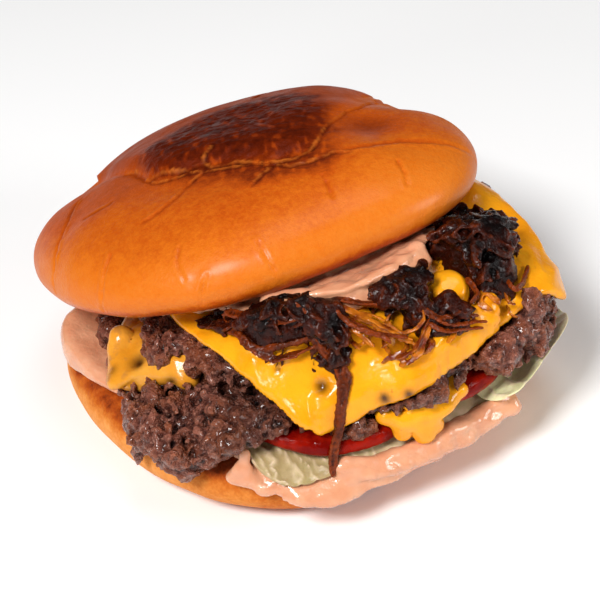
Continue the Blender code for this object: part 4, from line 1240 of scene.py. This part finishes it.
THREADS = [
    [(18.6, -45.1), (19.5, -47.5), (22, -49), (25, -49), (26.5, -46.5), (25.5, -43.5), (22, -42.8),
     (19.5, -43.5)],
    [(28.8, -45), (26, -50), (24.5, -53), (20, -53.6)],
    [(26.3, -47.4), (27.8, -50), (25.5, -52)],
    [(9.6, -47.6), (13, -50), (15.8, -53)],
    [(9, -46), (14, -47.5), (17, -49), (21, -51), (24, -51.5)],
    [(20, -45), (18, -48), (19.5, -50.5), (17, -52)],
    [(40, -38), (39, -41), (41.5, -42.5)],
    [(45, -36), (46, -39), (47.5, -38.5)],
    [(30, -46), (33, -47.5), (31, -49.5)],
    [(12, -46), (10.5, -49), (13, -51.5)],
    [(14, -44), (16.5, -46), (15, -49), (11.5, -50.5)],
    [(21, -46), (23, -47.6), (22.5, -50.6), (19, -52)],
    [(10, -44.5), (13, -46), (16, -46), (19, -47.5)],
    [(41, -38.5), (42.5, -40.5), (44, -41)],
]
print(len(STRANDS), "strands and", len(THREADS), "threads have routes")

# %% Strands
HANGING_COUNT = 9
dice = random.Random(21)
points, faces = [], []
for route, wide in STRANDS:
    for turn in range(2):
        shift = np.array((dice.uniform(-0.6, 0.6), dice.uniform(-0.5, 0.5)))
        places = [p + shift for p in smooth_route(route, 1.1)]
        path = settled(places, 0.4 + 0.3 * turn, 3)
        ribbon(path, wide * dice.uniform(0.5, 0.8), 0.4, dice, points, faces)
for turn in range(HANGING_COUNT):
    swing = dice.uniform(0, 6.28)
    places = []
    for k, place in enumerate(smooth_route(HANGING, 1.0)):
        places.append(place + ((1.7 - 0.05 * k) * math.sin(0.45 * k + swing), 0))
    path = settled(places[turn % 6 // 2 * 2:len(places) - turn // 2 * 2], 0.4 + 0.2 * turn, 6, 9)
    ribbon(path, dice.uniform(0.6, 1.2), 0.4, dice, points, faces)
strips = mesh_of("onion_strips", points, faces)
finish_with(strips, "REMESH", mode="VOXEL", voxel_size=0.34 * MM)
finish_with(strips, "SMOOTH", factor=0.5, iterations=1)
roughen(strips, 1.0, 0.5)
paint(strips, "raised", np.clip(0.75 + relief(strips, 14) / 0.6, 0, 1))
paint(strips, "char", np.clip(0.05 + 0.5 * swell(points_of(strips), 4, 4), 0, 1))
print(len(STRANDS) * 2 + HANGING_COUNT, "strand ribbons")

# %% Clump ribbons
points, faces = [], []
for outline, pile, count in CLUMPS.values():
    centre = np.mean(outline, axis=0)
    low, high = np.min(outline, axis=0), np.max(outline, axis=0)
    made = 0
    while made < count:
        x, y = dice.uniform(low[0], high[0]), dice.uniform(low[1], high[1])
        depth = depth_in(outline, np.array([(x, y, 0)]))[0]
        if depth < 0.4:
            continue
        made += 1
        heading, bend = dice.uniform(0, 2 * math.pi), 0
        lift = 0.35 + dice.random() * pile * smoothstep(0, 5, depth)
        places = []
        for k in range(dice.randint(9, 18)):
            places.append(np.array((x, y)))
            bend = 0.7 * bend + dice.uniform(-0.5, 0.5)
            heading += bend
            if depth_in(outline, np.array([(x, y, 0)]))[0] < 0.6:
                heading = math.atan2(centre[1] - y, centre[0] - x) + dice.uniform(-0.9, 0.9)
            x += 0.8 * math.cos(heading)
            y += 0.8 * math.sin(heading)
        path = settled(places, lift, 0)
        ribbon(path, dice.uniform(0.5, 1.2), dice.uniform(0.3, 0.5), dice, points, faces)
join(core, [mesh_of("clumps", points, faces)])
finish_with(core, "REMESH", mode="VOXEL", voxel_size=0.42 * MM)
finish_with(core, "SMOOTH", factor=0.5, iterations=3)
roughen(core, 1.1, 0.5)
skin = points_of(core)
held = np.max([depth_in(outline, skin) for outline, *_ in CLUMPS.values()], axis=0)
paint(core, "raised", np.clip(0.55 + relief(core, 14) / 1.0, 0, 1))
paint(core, "char", np.clip(0.18 + 0.12 * held + 0.7 * swell(skin, 5, 3), 0, 1))
print("clumps:", ", ".join(CLUMPS))

# %% Threads
points, faces = [], []
for route in THREADS:
    for turn in range(2):
        shift = np.array((dice.uniform(-0.5, 0.5), dice.uniform(-0.5, 0.5)))
        path = settled([p + shift for p in smooth_route(route, 0.9)], 0.35 + 0.2 * turn, 4)
        ribbon(path, dice.uniform(0.4, 1.0), 0.3, dice, points, faces)
threads = mesh_of("onion_threads", points, faces)
finish_with(threads, "REMESH", mode="VOXEL", voxel_size=0.34 * MM)
finish_with(threads, "SMOOTH", factor=0.5, iterations=3)
print(2 * len(THREADS), "threads")

# %% [markdown]
# Burnt sugar is almost black, and brown only where an edge is thin and raised. The colour follows
# how far each point stands out, so the hollows are also painted black, which is painted shade. A
# little oil makes it glint. The threads hardly burnt, so they are amber and let light through.

# %% Onion material
browned, tree, shader = new_material("browned_onion")
# Near black where a point lies low: partly burnt sugar, partly painted shade in the hollows.
brown_with_hollow_shade = ramp(tree, painted(tree, "raised"), [(0.3, (0.004, 0.0007, 0.0004)), (0.6, (0.035, 0.004, 0.001)),
                                             (0.95, (0.20, 0.030, 0.003))])
patch = use(tree, patches, {"Size": 4, "Low": 0.35, "High": 0.65}).outputs["Mask"]
burnt = shifted(tree, painted(tree, "char"), patch, 0.5)
colour = blend(tree, burnt, brown_with_hollow_shade, (0.003, 0.001, 0.001))
tree.links.new(colour, shader.inputs["Base Color"])
oil = use(tree, film, {"Size": 1.6, "Wet": 0.08, "Dry": 0.38})
tree.links.new(oil.outputs["Roughness"], shader.inputs["Roughness"])
shader.inputs["Specular IOR Level"].default_value = 0.1
shader.inputs["Coat Weight"].default_value = 0.3
shader.inputs["Coat Roughness"].default_value = 0.08
shader.inputs["Coat IOR"].default_value = 1.3
grain(tree, shader, [(0.5, 0.7), (1.3, 0.8)], 0.45)
dress(core, "onions", browned)
dress(strips, "onions", browned)

# %% Thread material
amber, tree, shader = new_material("amber_onion")
patch = use(tree, patches, {"Size": 3, "Low": 0.35, "High": 0.65}).outputs["Mask"]
colour = blend(tree, patch, (0.52, 0.15, 0.007), (0.15, 0.018, 0.002))
tree.links.new(colour, shader.inputs["Base Color"])
shader.inputs["Roughness"].default_value = 0.12
shader.inputs["Subsurface Weight"].default_value = 0.3
shader.inputs["Subsurface Radius"].default_value = (0.002, 0.0006, 0.0001)
shader.inputs["Specular IOR Level"].default_value = 0.25
shader.inputs["Coat Weight"].default_value = 0.1
grain(tree, shader, [(0.8, 0.7)], 0.3)
dress(threads, "onions", amber)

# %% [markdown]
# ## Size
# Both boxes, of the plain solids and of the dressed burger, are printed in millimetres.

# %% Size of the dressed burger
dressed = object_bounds()
sizes = {"cad": [list(corner) for corner in cad_box], "visual": [list(corner) for corner in dressed]}
for name, box in sizes.items():
    print(name, [[round(c / MM, 1) for c in corner] for corner in box])
